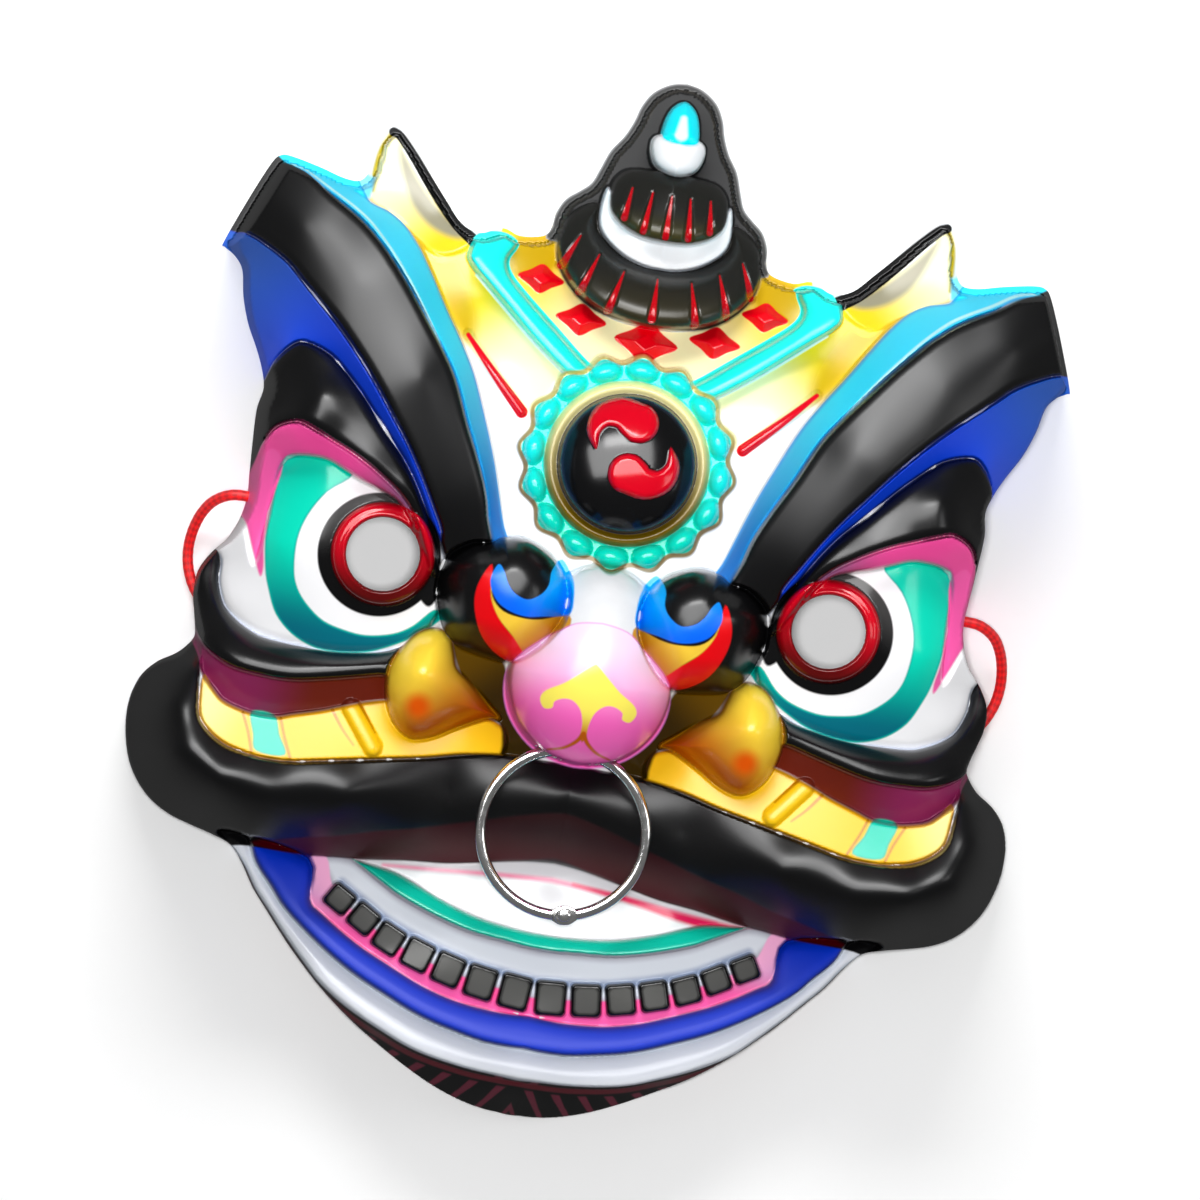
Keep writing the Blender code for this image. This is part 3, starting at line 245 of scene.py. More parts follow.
def smooth_line(points: Array, closed: bool, per_span: int = CURVE_POINTS) -> Array:
    """Catmull-Rom curve through points.

    Args:
        points: One point a row, in two or three dimensions.
        closed: Whether the last point leads back to the first.
        per_span: How many points the curve has from one given point to the next.

    Returns:
        The curve's points, one a row.
    """
    if closed:
        ends = np.vstack([points[-1:], points, points[:2]])
    else:
        ends = np.vstack([2 * points[:1] - points[1:2], points, 2 * points[-1:] - points[-2:-1]])
    a, b, c, d = (part[:, None, :] for part in (ends[:-3], ends[1:-2], ends[2:-1], ends[3:]))
    share = (np.arange(per_span) / per_span)[None, :, None]
    line = 0.5 * (
        2 * b + (c - a) * share + (
            2 * a - 5 * b + 4 * c - d
        ) * share**2 + (3 * b - a - 3 * c + d) * share**3
    )
    line = line.reshape(-1, points.shape[1])
    return line if closed else np.vstack([line, points[-1:]])


def line_distance(x: Array, y: Array, line: Array) -> tuple[Array, Array, Array, Array]:
    """Nearest point of an open line to each place.

    Args:
        x, y: The places.
        line: The line's points, one a row.

    Returns:
        The distance, the nearest point's x and y, and the share of the line's length that lies before it.
    """
    lengths = np.hypot(*np.diff(line, axis=0).T)
    starts = np.concatenate([[0], np.cumsum(lengths)])
    best = np.full(x.shape, np.inf)
    near_x, near_y, share = np.zeros(x.shape), np.zeros(x.shape), np.zeros(x.shape)
    for (ax, ay), (bx, by), length, start in zip(line[:-1], line[1:], lengths, starts):
        along = np.clip(((x - ax) * (bx - ax) + (y - ay) * (by - ay)) / max(length**2, 1e-18), 0, 1)
        px, py = ax + along * (bx - ax), ay + along * (by - ay)
        away = (x - px) ** 2 + (y - py) ** 2
        nearer = away < best
        best[nearer] = away[nearer]
        near_x[nearer] = px[nearer]
        near_y[nearer] = py[nearer]
        share[nearer] = (start + along[nearer] * length) / starts[-1]
    return np.sqrt(best), near_x, near_y, share


def is_inside(x: Array, y: Array, loop: Array) -> Array:
    """Whether each place lies inside a closed loop, by how often a ray crosses the loop."""
    inside = np.zeros(x.shape, bool)
    closed = np.vstack([loop, loop[:1]])
    for (ax, ay), (bx, by) in zip(closed[:-1], closed[1:]):
        if ay != by:
            inside ^= ((ay > y) != (by > y)) & (x < ax + (y - ay) * (bx - ax) / (by - ay))
    return inside


def inside_distance(x: Array, y: Array, loop: Array) -> Array:
    """Distance of each place to a closed loop, above zero inside it."""
    away = line_distance(x, y, np.vstack([loop, loop[:1]]))[0]
    return np.where(is_inside(x, y, loop), away, -away)


def knot_surface(knots: Array, x: Array, y: Array) -> Array:
    """Thin-plate surface through knots: a plane plus one r squared log r term for each knot.

    Args:
        knots: The knots' x, y and z, one knot a row.
        x, y: The places.

    Returns:
        The surface's height at each place.
    """

    def bend(squared: Array) -> Array:
        """r squared log r squared, 0 at the knot itself."""
        return np.where(squared > 0, squared * np.log(np.maximum(squared, 1e-18)), 0)

    scale = MASK_WIDTH / 2
    kx, ky, kz = knots.T / scale
    count = len(knots)
    system = np.zeros((count + 3, count + 3))
    system[:count, :count] = bend((kx[:, None] - kx) ** 2 + (ky[:, None] - ky) ** 2)
    system[:count, count:] = np.column_stack([np.ones(count), kx, ky])
    system[count:, :count] = system[:count, count:].T
    weights = np.linalg.solve(system, np.concatenate([kz, np.zeros(3)]))
    height = weights[count] + weights[count + 1] * x / scale + weights[count + 2] * y / scale
    for weight, px, py in zip(weights, kx, ky):
        height = height + weight * bend((x / scale - px) ** 2 + (y / scale - py) ** 2)
    return height * scale


def ease(value: Array, start: float | Array, end: float | Array) -> Array:
    """Smooth step from 0 at start to 1 at end: 3 t squared - 2 t cubed."""
    share = np.clip((value - start) / (end - start), 0, 1)
    return share * share * (3 - 2 * share)


def round_over(share: Array) -> Array:
    """Quarter round: 0 at share 0, rising steeply and levelling off to 1 at share 1."""
    return np.sqrt(1 - (1 - np.clip(share, 0, 1)) ** 2)


class Rise(Protocol):
    """Something that the mould maker adds to the relief."""

    level: int
    both_sides: bool

    def raise_on(self, height: Array, x: Array, y: Array) -> Array:
        """Height with this laid over it."""


@dataclass(frozen=True)
class Form:
    """A raised form: a thin-plate crest inside an outline, rounded down at its shoulder.

    Its height is crest - fall * (1 - round_over(distance / shoulder)), blended in over its edge.
    """

    level: int
    outline: Table
    knots: Table
    shoulder: float
    fall: float
    edge: float = 0.0012
    both_sides: bool = True

    def raise_on(self, height: Array, x: Array, y: Array) -> Array:
        """Height with the form laid over it, worked out near the form only."""
        loop = smooth_line(face_points(self.outline), closed=True)
        low, high = loop.min(axis=0) - self.edge, loop.max(axis=0) + self.edge
        near = (x > low[0]) & (x < high[0]) & (y > low[1]) & (y < high[1])
        px, py = x[near], y[near]
        inside = inside_distance(px, py, loop)
        crest = knot_surface(face_points(self.knots), px, py)
        crest = crest - self.fall * (1 - round_over(inside / self.shoulder))
        raised = height.copy()
        raised[near] += ease(inside, -self.edge / 2, self.edge / 2) * (crest - height[near])
        return raised


@dataclass(frozen=True)
class Ridge:
    """A half-round ridge along a route, or a groove where its rise is below zero."""

    level: int
    route: Table
    width: float
    rise: float
    end_width: float | None = None
    both_sides: bool = True

    def raise_on(self, height: Array, x: Array, y: Array) -> Array:
        """Height plus rise * sqrt(1 - (distance / half width) squared)."""
        line = smooth_line(face_points(self.route), closed=False)
        low, high = line.min(axis=0) - self.width, line.max(axis=0) + self.width
        near = (x > low[0]) & (x < high[0]) & (y > low[1]) & (y < high[1])
        away, _, _, share = line_distance(x[near], y[near], line)
        last = self.width if self.end_width is None else self.end_width
        half = (self.width + (last - self.width) * share) / 2
        raised = height.copy()
        raised[near] += self.rise * (half * 2 / self.width) * np.sqrt(np.clip(1 - (away / half) ** 2, 0, 1))
        return raised


class Shape(Protocol):
    """The area of a coat of paint."""

    def inside(self, x: Array, y: Array) -> Array:
        """Distance of each place to the area's border, above zero inside."""


FAR = 0.006


@dataclass(frozen=True)
class Patch:
    """An area with a drawn outline, on both halves of the face or on one."""

    outline: Table
    side: int = 0
    smooth: bool = True

    def inside(self, x: Array, y: Array) -> Array:
        """Distance to the outline, worked out within a few millimetres of its box."""
        points = face_points(self.outline)
        loop = smooth_line(points, closed=True) if self.smooth else points
        across = np.abs(x) if self.side == 0 else x * self.side
        low, high = loop.min(axis=0) - FAR, loop.max(axis=0) + FAR
        near = (across > low[0]) & (across < high[0]) & (y > low[1]) & (y < high[1])
        distance = np.full(x.shape, -FAR)
        distance[near] = inside_distance(across[near], y[near], loop)
        return distance


@dataclass(frozen=True)
class Disc:
    """A round area, or an oval one where it has a second radius."""

    column: float
    row: float
    radius: float
    tall: float | None = None
    side: int = 0

    def inside(self, x: Array, y: Array) -> Array:
        """Radius less the distance to the middle, with y scaled for an oval."""
        cx, cy, _ = face_point(self.column, self.row)
        across = np.abs(x) if self.side == 0 else x * self.side
        stretch = self.radius / (self.tall or self.radius)
        return self.radius - np.hypot(across - cx, (y - cy) * stretch)


@dataclass(frozen=True)
class Stroke:
    """A brushed line along a route, that may taper from its first width to its last."""

    route: Table
    width: float
    end_width: float | None = None
    side: int = 0

    def inside(self, x: Array, y: Array) -> Array:
        """Half the stroke's width there less the distance to its route."""
        line = smooth_line(face_points(self.route), closed=False)
        across = np.abs(x) if self.side == 0 else x * self.side
        low, high = line.min(axis=0) - FAR, line.max(axis=0) + FAR
        near = (across > low[0]) & (across < high[0]) & (y > low[1]) & (y < high[1])
        away, _, _, share = line_distance(across[near], y[near], line)
        last = self.width if self.end_width is None else self.end_width
        distance = np.full(x.shape, -FAR)
        distance[near] = (self.width + (last - self.width) * share) / 2 - away
        return distance


@dataclass(frozen=True)
class Flower:
    """A scalloped round area: radius + wave * cos(petals * turn)."""

    column: float
    row: float
    radius: float
    wave: float
    petals: int

    def inside(self, x: Array, y: Array) -> Array:
        """The scalloped radius there less the distance to the middle."""
        cx, cy, _ = face_point(self.column, self.row)
        turn = np.arctan2(x - cx, cy - y)
        return self.radius + self.wave * np.cos(self.petals * turn) - np.hypot(x - cx, y - cy)


@dataclass(frozen=True)
class Group:
    """Several areas painted as one."""

    shapes: tuple[Shape, ...]

    def inside(self, x: Array, y: Array) -> Array:
        """The largest of the areas' distances."""
        return np.max([shape.inside(x, y) for shape in self.shapes], axis=0)


@dataclass(frozen=True)
class Finish:
    """Sprayed paint: its colour, gloss, and how the colour changes towards its border or along the face. In
    places these changes are painted highlights or painted shade.
    """

    color: Color
    roughness: float = 0.26
    edge_color: Color | None = None
    edge_width: float = 0.0
    fade_color: Color | None = None
    fade: Table = ((0, 0), (0, 1))


@dataclass(frozen=True)
class Coat:
    """One coat of paint: where it lies, what it looks like and how softly its border is sprayed. Some coats
    are painted highlights or painted shade.
    """

    name: str
    shape: Shape
    finish: Finish
    soft: float = 0.00022


BLACK: Color = (0.0032, 0.0032, 0.0036)
CYAN: Color = (0.0, 0.70, 1.0)
DEEP_BLUE: Color = (0.0, 0.06, 0.85)
NAVY: Color = (0.005, 0.10, 0.55)
YELLOW: Color = (0.98, 0.68, 0.015)
CREAM: Color = (0.98, 0.90, 0.52)


@dataclass
class Crest:
    """The pagoda-like crest: two fluted tiers, a white band between them, a pearl and a small flame."""

    lower_grooves: tuple[Table, ...] = (
        ((0, 102.4), (0, 113.5)),
        ((12.0, 102.9), (9.3, 114)),
        ((20.2, 106.8), (16.6, 117.5)),
        ((26.2, 113.0), (22.4, 121.8)),
    )
    upper_grooves: tuple[Table, ...] = (
        ((0, 125.0), (0, 136.3)),
        ((6.2, 125.6), (5.2, 136.6)),
        ((11.8, 128.4), (10.8, 137)),
    )

    def rises(self) -> list[Rise]:
        """Raised forms of the crest and the grooves between the lobes of its tiers."""
        grooves = [
            Ridge(51, route, 0.0030, -0.0015, 0.0012)
            for route in self.lower_grooves + self.upper_grooves
        ]
        return [
            Form(
                40, TIER_LOWER, [(0, 109, 44), (15, 111, 41), (23, 118, 33), (22, 127, 25)], shoulder=0.007,
                fall=0.0085, edge=0.001,
            ),
            Form(
                41, TIER_BAND, [(0, 119, 35), (13, 122, 32), (17, 131, 25), (0, 130, 36)], shoulder=0.0015,
                fall=0.001, edge=0.0008,
            ),
            Form(
                42, TIER_UPPER, [(0, 130, 42), (12, 132, 37), (0, 139, 37), (13, 138, 30)], shoulder=0.005,
                fall=0.0065, edge=0.001,
            ),
            Form(
                43, PEARL, [(0, 148, 37), (5, 147, 35), (3, 152, 32)], shoulder=0.0055, fall=0.008,
                edge=0.0008,
            ),
            Form(
                44, FLAME, [(0, 155, 27), (0, 161, 22), (4, 156, 25)], shoulder=0.0036, fall=0.005,
                edge=0.0008,
            ), *grooves,
        ]

    def zone(self) -> Shape:
        """The part of the sheet that is cut out as the crest."""
        return Patch(
            [(-6, 172), (-6, 99.6), (8, 99.8), (20, 103), (27.5, 110), (29.5, 117), (33, 124), (30, 172)],
            smooth=False,
        )

    def coats(self) -> list[Coat]:
        """Paint of the crest, from the first coat to the last."""
        niche = [
            (-8, 163.5), (0, 166.2), (4, 165.2), (7.6, 162), (9.6, 157), (11.4, 152), (14.6, 147),
            (17, 142), (18.5, 137), (21.4, 133.6), (25, 130.8), (27, 127), (28, 121), (27.5, 114),
            (23.8, 108), (17, 102.8), (9, 100.9), (0, 100.5), (-8, 100.8), (-8, 130),
        ]
        black = Finish(BLACK, 0.65, edge_color=(0.035, 0.03, 0.02), edge_width=0.0010)
        tier = Finish(
            (0.012, 0.012, 0.010), 0.3, fade_color=(0.03, 0.025, 0.010), fade=((0, 116), (0, 100.5)),
        )
        red = Finish((0.5, 0.0, 0.006), 0.2)
        return [
            Coat(
                "crest_border", Patch(OUTLINE[:13] + [(28, 119), (-8, 119), (-8, 168)]),
                Finish((0.03, 0.03, 0.03), 0.32, edge_color=(0.30, 0.30, 0.31), edge_width=0.0008),
            ), Coat("crest_niche", Patch(niche), black, 0.0005),
            Coat("tier_lower", Patch(TIER_LOWER), tier),
            Coat(
                "tier_band", Patch(TIER_BAND),
                Finish((0.93, 0.94, 0.96), 0.22, edge_color=(0.55, 0.60, 0.68), edge_width=0.0007),
            ),
            Coat(
                "tier_upper", Patch(TIER_UPPER),
                Finish(
                    (0.012, 0.012, 0.010), 0.3, fade_color=(0.045, 0.04, 0.010), fade=((0, 133), (0, 124)),
                ),
            ),
            Coat(
                "tier_red", Group(tuple(Stroke(route, 0.0022, 0.0004) for route in self.lower_grooves)),
                red,
            ),
            Coat(
                "tier_red_upper",
                Group(tuple(Stroke(route, 0.0018, 0.0005) for route in self.upper_grooves)), red,
            ), Coat("pearl", Patch(PEARL), Finish((0.9, 0.9, 0.92), 0.16)),
            Coat("flame", Patch(FLAME), Finish((0.0, 0.75, 0.88), 0.18)),
            # Painted highlight: a pale stroke down the middle of the cyan flame.
            Coat(
                "flame_painted_highlight", Stroke([(0, 153.6), (0, 158)], 0.0034, 0.0018),
                Finish((0.75, 0.95, 1.0), 0.18), 0.0006,
            ),
        ]


@dataclass
class Crown:
    """The forehead's upper half: pointed ears, gold fields, raised ribs, stripes and diamonds."""

    ear_ridge: Table = ((51, 116.4), (55, 119.3), (60, 124.3), (65, 130), (70, 136), (74.5, 140.6))
    stripe: Table = ((48.2, 89.8), (40, 81), (30.5, 71.5))
    diamonds: Table = ((0, 96, 8.8, 5.8), (18.5, 99.2, 7.1, 4.5), (31, 108.4, 6.5, 4.1))

    def rises(self) -> list[Rise]:
        """Ears with their ridge, the ribs, the stripes and the diamonds."""
        return [
            Form(
                1,
                [
                    (51, 115.5), (60, 123.6), (65, 129.2), (70, 135.4), (73.7, 139.7), (76.4, 141),
                    (78.6, 139), (79.6, 134), (80, 127), (82, 121), (75, 118), (66, 113), (58, 110),
                ],
                [(76, 139, 12), (70, 130, 14), (78, 125, 15), (62, 120, 18), (55, 115, 24), (72, 119, 19)],
                shoulder=0.0015, fall=0.001,
            ),
            Form(
                20,
                [
                    (49, 118), (51.5, 112), (50, 108.7), (45, 104.3), (40, 100), (30, 91.3), (20, 83.8),
                    (12, 79), (8, 84), (15, 87), (25, 95), (35, 103), (40, 108), (41.2, 112), (39.5, 115.5),
                    (39.2, 118), (43, 119.4),
                ], [(46, 115, 33), (44, 107, 38), (30, 94, 44), (17, 85, 47)], shoulder=0.0036, fall=0.003,
                edge=0.001,
            ), Ridge(30, self.ear_ridge, 0.0026, 0.0028), Ridge(30, self.stripe, 0.0030, 0.0016, 0.0022),
            *(Gem(62, *diamond) for diamond in self.diamonds),
        ]

    def zone(self) -> Shape:
        """The whole sheet: what no other sub-assembly cuts out is left to the crown."""
        return Patch([(-130, 175), (130, 175), (130, -125), (-130, -125)], smooth=False)

    def coats(self) -> list[Coat]:
        """Paint of the crown."""
        ear = [
            (50, 115), (57, 121), (63, 127), (68.5, 134), (73.5, 139.4), (76.8, 141.6), (79, 139.6),
            (80.2, 135), (80.4, 129), (81, 123.5), (76, 119.2), (66, 114), (60, 108), (54, 110),
        ]
        outer = [
            (84, 124), (80.5, 121.8), (75, 119.5), (70, 116.5), (65, 111), (60, 103.5), (55, 95.5),
            (49, 88.2), (40, 80), (31, 71.8), (26, 73), (22, 82), (16, 84), (30, 92), (40, 101),
            (49.5, 109), (51, 114), (56, 117), (65, 118), (74, 121), (82, 126),
        ]
        shade = [
            (72, 118.6), (65, 111), (60, 103.5), (55, 95.5), (49.5, 88.5), (46.6, 90), (47.6, 97),
            (51.5, 105), (56, 111), (63, 116),
        ]
        inner = [
            (-6, 101), (0, 100), (9, 100.5), (18, 104), (25, 110), (29, 118), (29.3, 127), (31, 121),
            (38, 120), (43, 121), (42, 112), (35, 103), (25, 95), (15, 87), (0, 86), (-6, 87),
        ]
        corner = [
            (27.5, 112), (28, 120), (29.4, 127), (31, 121), (38, 119.4), (42, 117), (42.5, 112),
            (39, 107.5), (33, 109),
        ]
        olive = [
            (74.8, 137.5), (68, 129.2), (61, 122.2), (53.5, 116.4), (57, 115.4), (63, 117.4), (68.5, 122),
            (72.5, 129),
        ]
        rib = [
            (49.4, 118), (52, 112), (50.4, 108.4), (45.4, 103.8), (40.4, 99.5), (30.4, 90.8), (20.4, 83.3),
            (12, 78.6), (7.6, 84.6), (14.4, 88), (24.4, 96), (34.2, 104), (39, 108.6), (40.2, 112),
            (38.6, 115.5), (38.6, 118), (43, 119.6),
        ]
        yellow = Finish(YELLOW, 0.24, fade_color=CREAM, fade=((50, 98), (38, 84)))
        return [
            Coat("gold_outer", Patch(outer), yellow, 0.0010),
            Coat("gold_shade", Patch(shade), Finish((0.66, 0.42, 0.0), 0.3), 0.0028),
            Coat(
                "ear", Patch(ear),
                Finish((1.0, 0.93, 0.52), 0.24, fade_color=YELLOW, fade=((74, 128), (60, 112))), 0.0005,
            ), Coat("ear_olive", Patch(olive), Finish((0.34, 0.30, 0.20), 0.3), 0.0013),
            Coat(
                "ear_line", Stroke([(80.3, 124.5), (80.2, 131), (79.4, 136.5), (77.4, 140.6)], 0.0013),
                Finish((0.50, 0.36, 0.0), 0.24), 0.0005,
            ),
            # Painted highlight: a pale line along the lit bevel beside the ear's black ridge.
            Coat(
                "ear_painted_highlight", Stroke([(73.6, 137), (68.8, 131.3), (62.8, 125), (55, 118)], 0.0009),
                Finish((0.95, 0.93, 0.85), 0.2),
            ),
            Coat(
                "ear_ridge",
                Stroke(
                    [
                        (50.3, 115.4), (55.2, 118.9), (60.3, 123.9), (65.4, 129.6), (70.4, 135.5),
                        (74.8, 140.2), (77, 141.4),
                    ], 0.0040, 0.0026,
                ), Finish(BLACK, 0.2),
            ),
            Coat(
                "gold_inner", Patch(inner),
                Finish(CREAM, 0.24, fade_color=YELLOW, fade=((14, 94), (36, 112))),
            ), Coat("gold_corner", Patch(corner), Finish((0.62, 0.38, 0.0), 0.24), 0.0014),
            Coat("rib", Patch(rib), Finish((0.01, 0.90, 0.80), 0.24)),
            # Painted highlight: a pale line along the lower edge of the raised teal rib.
            Coat(
                "rib_painted_highlight", Stroke([(48.6, 106.4), (40.4, 99.2), (30.4, 90.8), (20.2, 83.4)], 0.0007),
                Finish((0.72, 0.95, 0.9), 0.17),
            ), Coat("stripe", Stroke(self.stripe, 0.0012, 0.0034), Finish((0.78, 0.0, 0.012), 0.17)),
            Coat(
                "diamonds",
                Group(
                    tuple(
                        Patch(
                            [
                                (c + w, r), (c + w / 2, r + h / 2), (c, r + h), (c - w / 2, r + h / 2),
                                (c - w, r), (c - w / 2, r - h / 2), (c, r - h), (c + w / 2, r - h / 2),
                            ]
                        )
                        for c, r, w, h in self.diamonds
                    )
                ), Finish((0.88, 0.0, 0.008), 0.2),
            ),
        ]


@dataclass(frozen=True)
class Gem:
    """A low pyramid over a rhombus, with a flat top."""

    level: int
    column: float
    row: float
    half_width: float
    half_height: float
    rise: float = 0.0030
    both_sides: bool = True

    def raise_on(self, height: Array, x: Array, y: Array) -> Array:
        """Height plus rise * (1 - |x| / half width - |y| / half height), cut off at the top."""
        cx, cy, _ = face_point(self.column, self.row)
        off = np.abs(x - cx) / (self.half_width * COLUMN_SIZE)
        off = off + np.abs(y - cy) / (self.half_height * ROW_SIZE)
        return height + self.rise * np.clip((1 - off) * 1.6, 0, 1)


@dataclass(frozen=True)
class Boss:
    """The forehead's boss: scalloped skirt, a ring of beads, a plain ring, a dome and two commas."""

    level: int = 60
    both_sides: bool = False
    column: float = 0.0
    row: float = 62.5
    step: float = 48.5
    lean: float = 0.2
    dome: float = 0.0188
    dome_rise: float = 0.0125
    ring: float = 0.0226
    ring_rise: float = 0.0034
    bead_circle: float = 0.0256
    bead_long: float = 0.0088
    bead_wide: float = 0.0058
    bead_rise: float = 0.0042
    beads: int = 16
    skirt: float = 0.0288
    skirt_rise: float = 0.0012
    comma: Table = ((1, 74), (-4, 75.8), (-8.6, 74.3), (-10.6, 70), (-9.3, 65))
    comma_turn: tuple[float, float] = (0.7, 66.9)
    comma_width: float = 0.0106
    comma_rise: float = 0.0014

    def commas(self) -> list[list[tuple[float, float]]]:
        """The routes of the two commas: the second is the first turned half round their common point."""
        column, row = self.comma_turn
        return [
            [(column + (c - column) * sign, row + (r - row) * sign) for c, r in self.comma]
            for sign in (1, -1)
        ]

    def raise_on(self, height: Array, x: Array, y: Array) -> Array:
        """Height with the boss: rings follow the distance to its middle, beads the turn as well."""
        cx, cy, base = face_point(self.column, self.row, self.step)
        dx, dy = x - cx, y - cy
        away, turn = np.hypot(dx, dy), np.arctan2(dx, -dy)
        plane = base - self.lean * dy
        pitch = 2 * math.pi / self.beads
        off = (turn + math.pi / self.beads) % pitch - pitch / 2
        cover = ease(self.skirt + 0.0012 * np.cos(off * self.beads) - away, -0.0006, 0.0006)
        height = height + cover * (plane + self.skirt_rise - height)
        radial = (away * np.cos(off) - self.bead_circle) / (self.bead_wide / 2)
        along = away * np.sin(off) / (self.bead_long / 2)
        bead = np.sqrt(np.clip(1 - radial**2 - along**2, 0, 1)) * (away > self.dome)
        height = height + self.bead_rise * bead
        share = np.clip((away - self.dome) / (self.ring - self.dome), 0, 1)
        cover = ease(self.ring - away, -0.0004, 0.0004)
        rim = plane + self.skirt_rise + self.ring_rise * np.sin(math.pi * share) ** 0.6
        height = height + cover * (rim - height)
        dome = plane + self.skirt_rise + 0.0015
        dome = dome + self.dome_rise * np.sqrt(np.clip(1 - (away / (self.dome * 1.06)) ** 2, 0, 1))
        height = height + ease(self.dome - away, -0.0004, 0.0004) * (dome - height)
        for route in self.commas():
            distance, _, _, share = line_distance(x, y, smooth_line(face_points(route), False))
            half = self.comma_width / 2 * (1 - share) ** 0.8 + 1e-6
            height = height + self.comma_rise * round_over((half - distance) / 0.0018) * (distance < half)
        return height

    def rises(self) -> list[Rise]:
        """The boss itself."""
        return [self]

    def zone(self) -> Shape:
        """A round part of the sheet about the boss."""
        return Disc(self.column, self.row, 0.0315)

    def coats(self) -> list[Coat]:
        """Paint of the boss, from the skirt in."""
        commas = Group(tuple(CommaArea(route, self.comma_width) for route in self.commas()))
        # The skirt, the beads and the brass ring darken towards the bottom of the boss: painted shade, as
        # under light from above.
        brass = Finish((0.90, 0.80, 0.36), 0.2, fade_color=(0.16, 0.095, 0.0), fade=((0, 82), (0, 46)))
        beads = Finish((0.01, 0.85, 0.78), 0.16, fade_color=(0.0, 0.66, 0.48), fade=((0, 70), (0, 38)))
        return [
            Coat(
                "skirt", Flower(self.column, self.row, 0.0292, 0.0010, self.beads),
                Finish((0.25, 0.17, 0.07), 0.24, fade_color=(0.62, 0.50, 0.14), fade=((0, 55), (0, 84))),
                0.0004,
            ), Coat("beads", Flower(self.column, self.row, 0.0279, 0.0011, self.beads), beads, 0.0003),
            Coat("boss_ring", Disc(self.column, self.row, self.ring), brass, 0.0003),
            Coat(
                "boss_edge", Disc(self.column, self.row, self.dome + 0.0004),
                Finish((0.02, 0.03, 0.055), 0.16), 0.0003,
            ),
            Coat("boss_dome", Disc(self.column, self.row, self.dome - 0.0012), Finish(BLACK, 0.17), 0.0008),
            Coat(
                "commas", commas,
                Finish((0.66, 0.0, 0.012), 0.12, edge_color=(0.30, 0.0, 0.01), edge_width=0.0008), 0.0002,
            ),
        ]


@dataclass(frozen=True)
class CommaArea:
    """The painted area of one comma: a stroke that tapers with a power of its length."""

    route: Table
    width: float

    def inside(self, x: Array, y: Array) -> Array:
        """Half of the comma's width there less the distance to its route."""
        distance, _, _, share = line_distance(x, y, smooth_line(face_points(self.route), False))
        return self.width / 2 * (1 - share) ** 0.8 + 0.0002 - distance


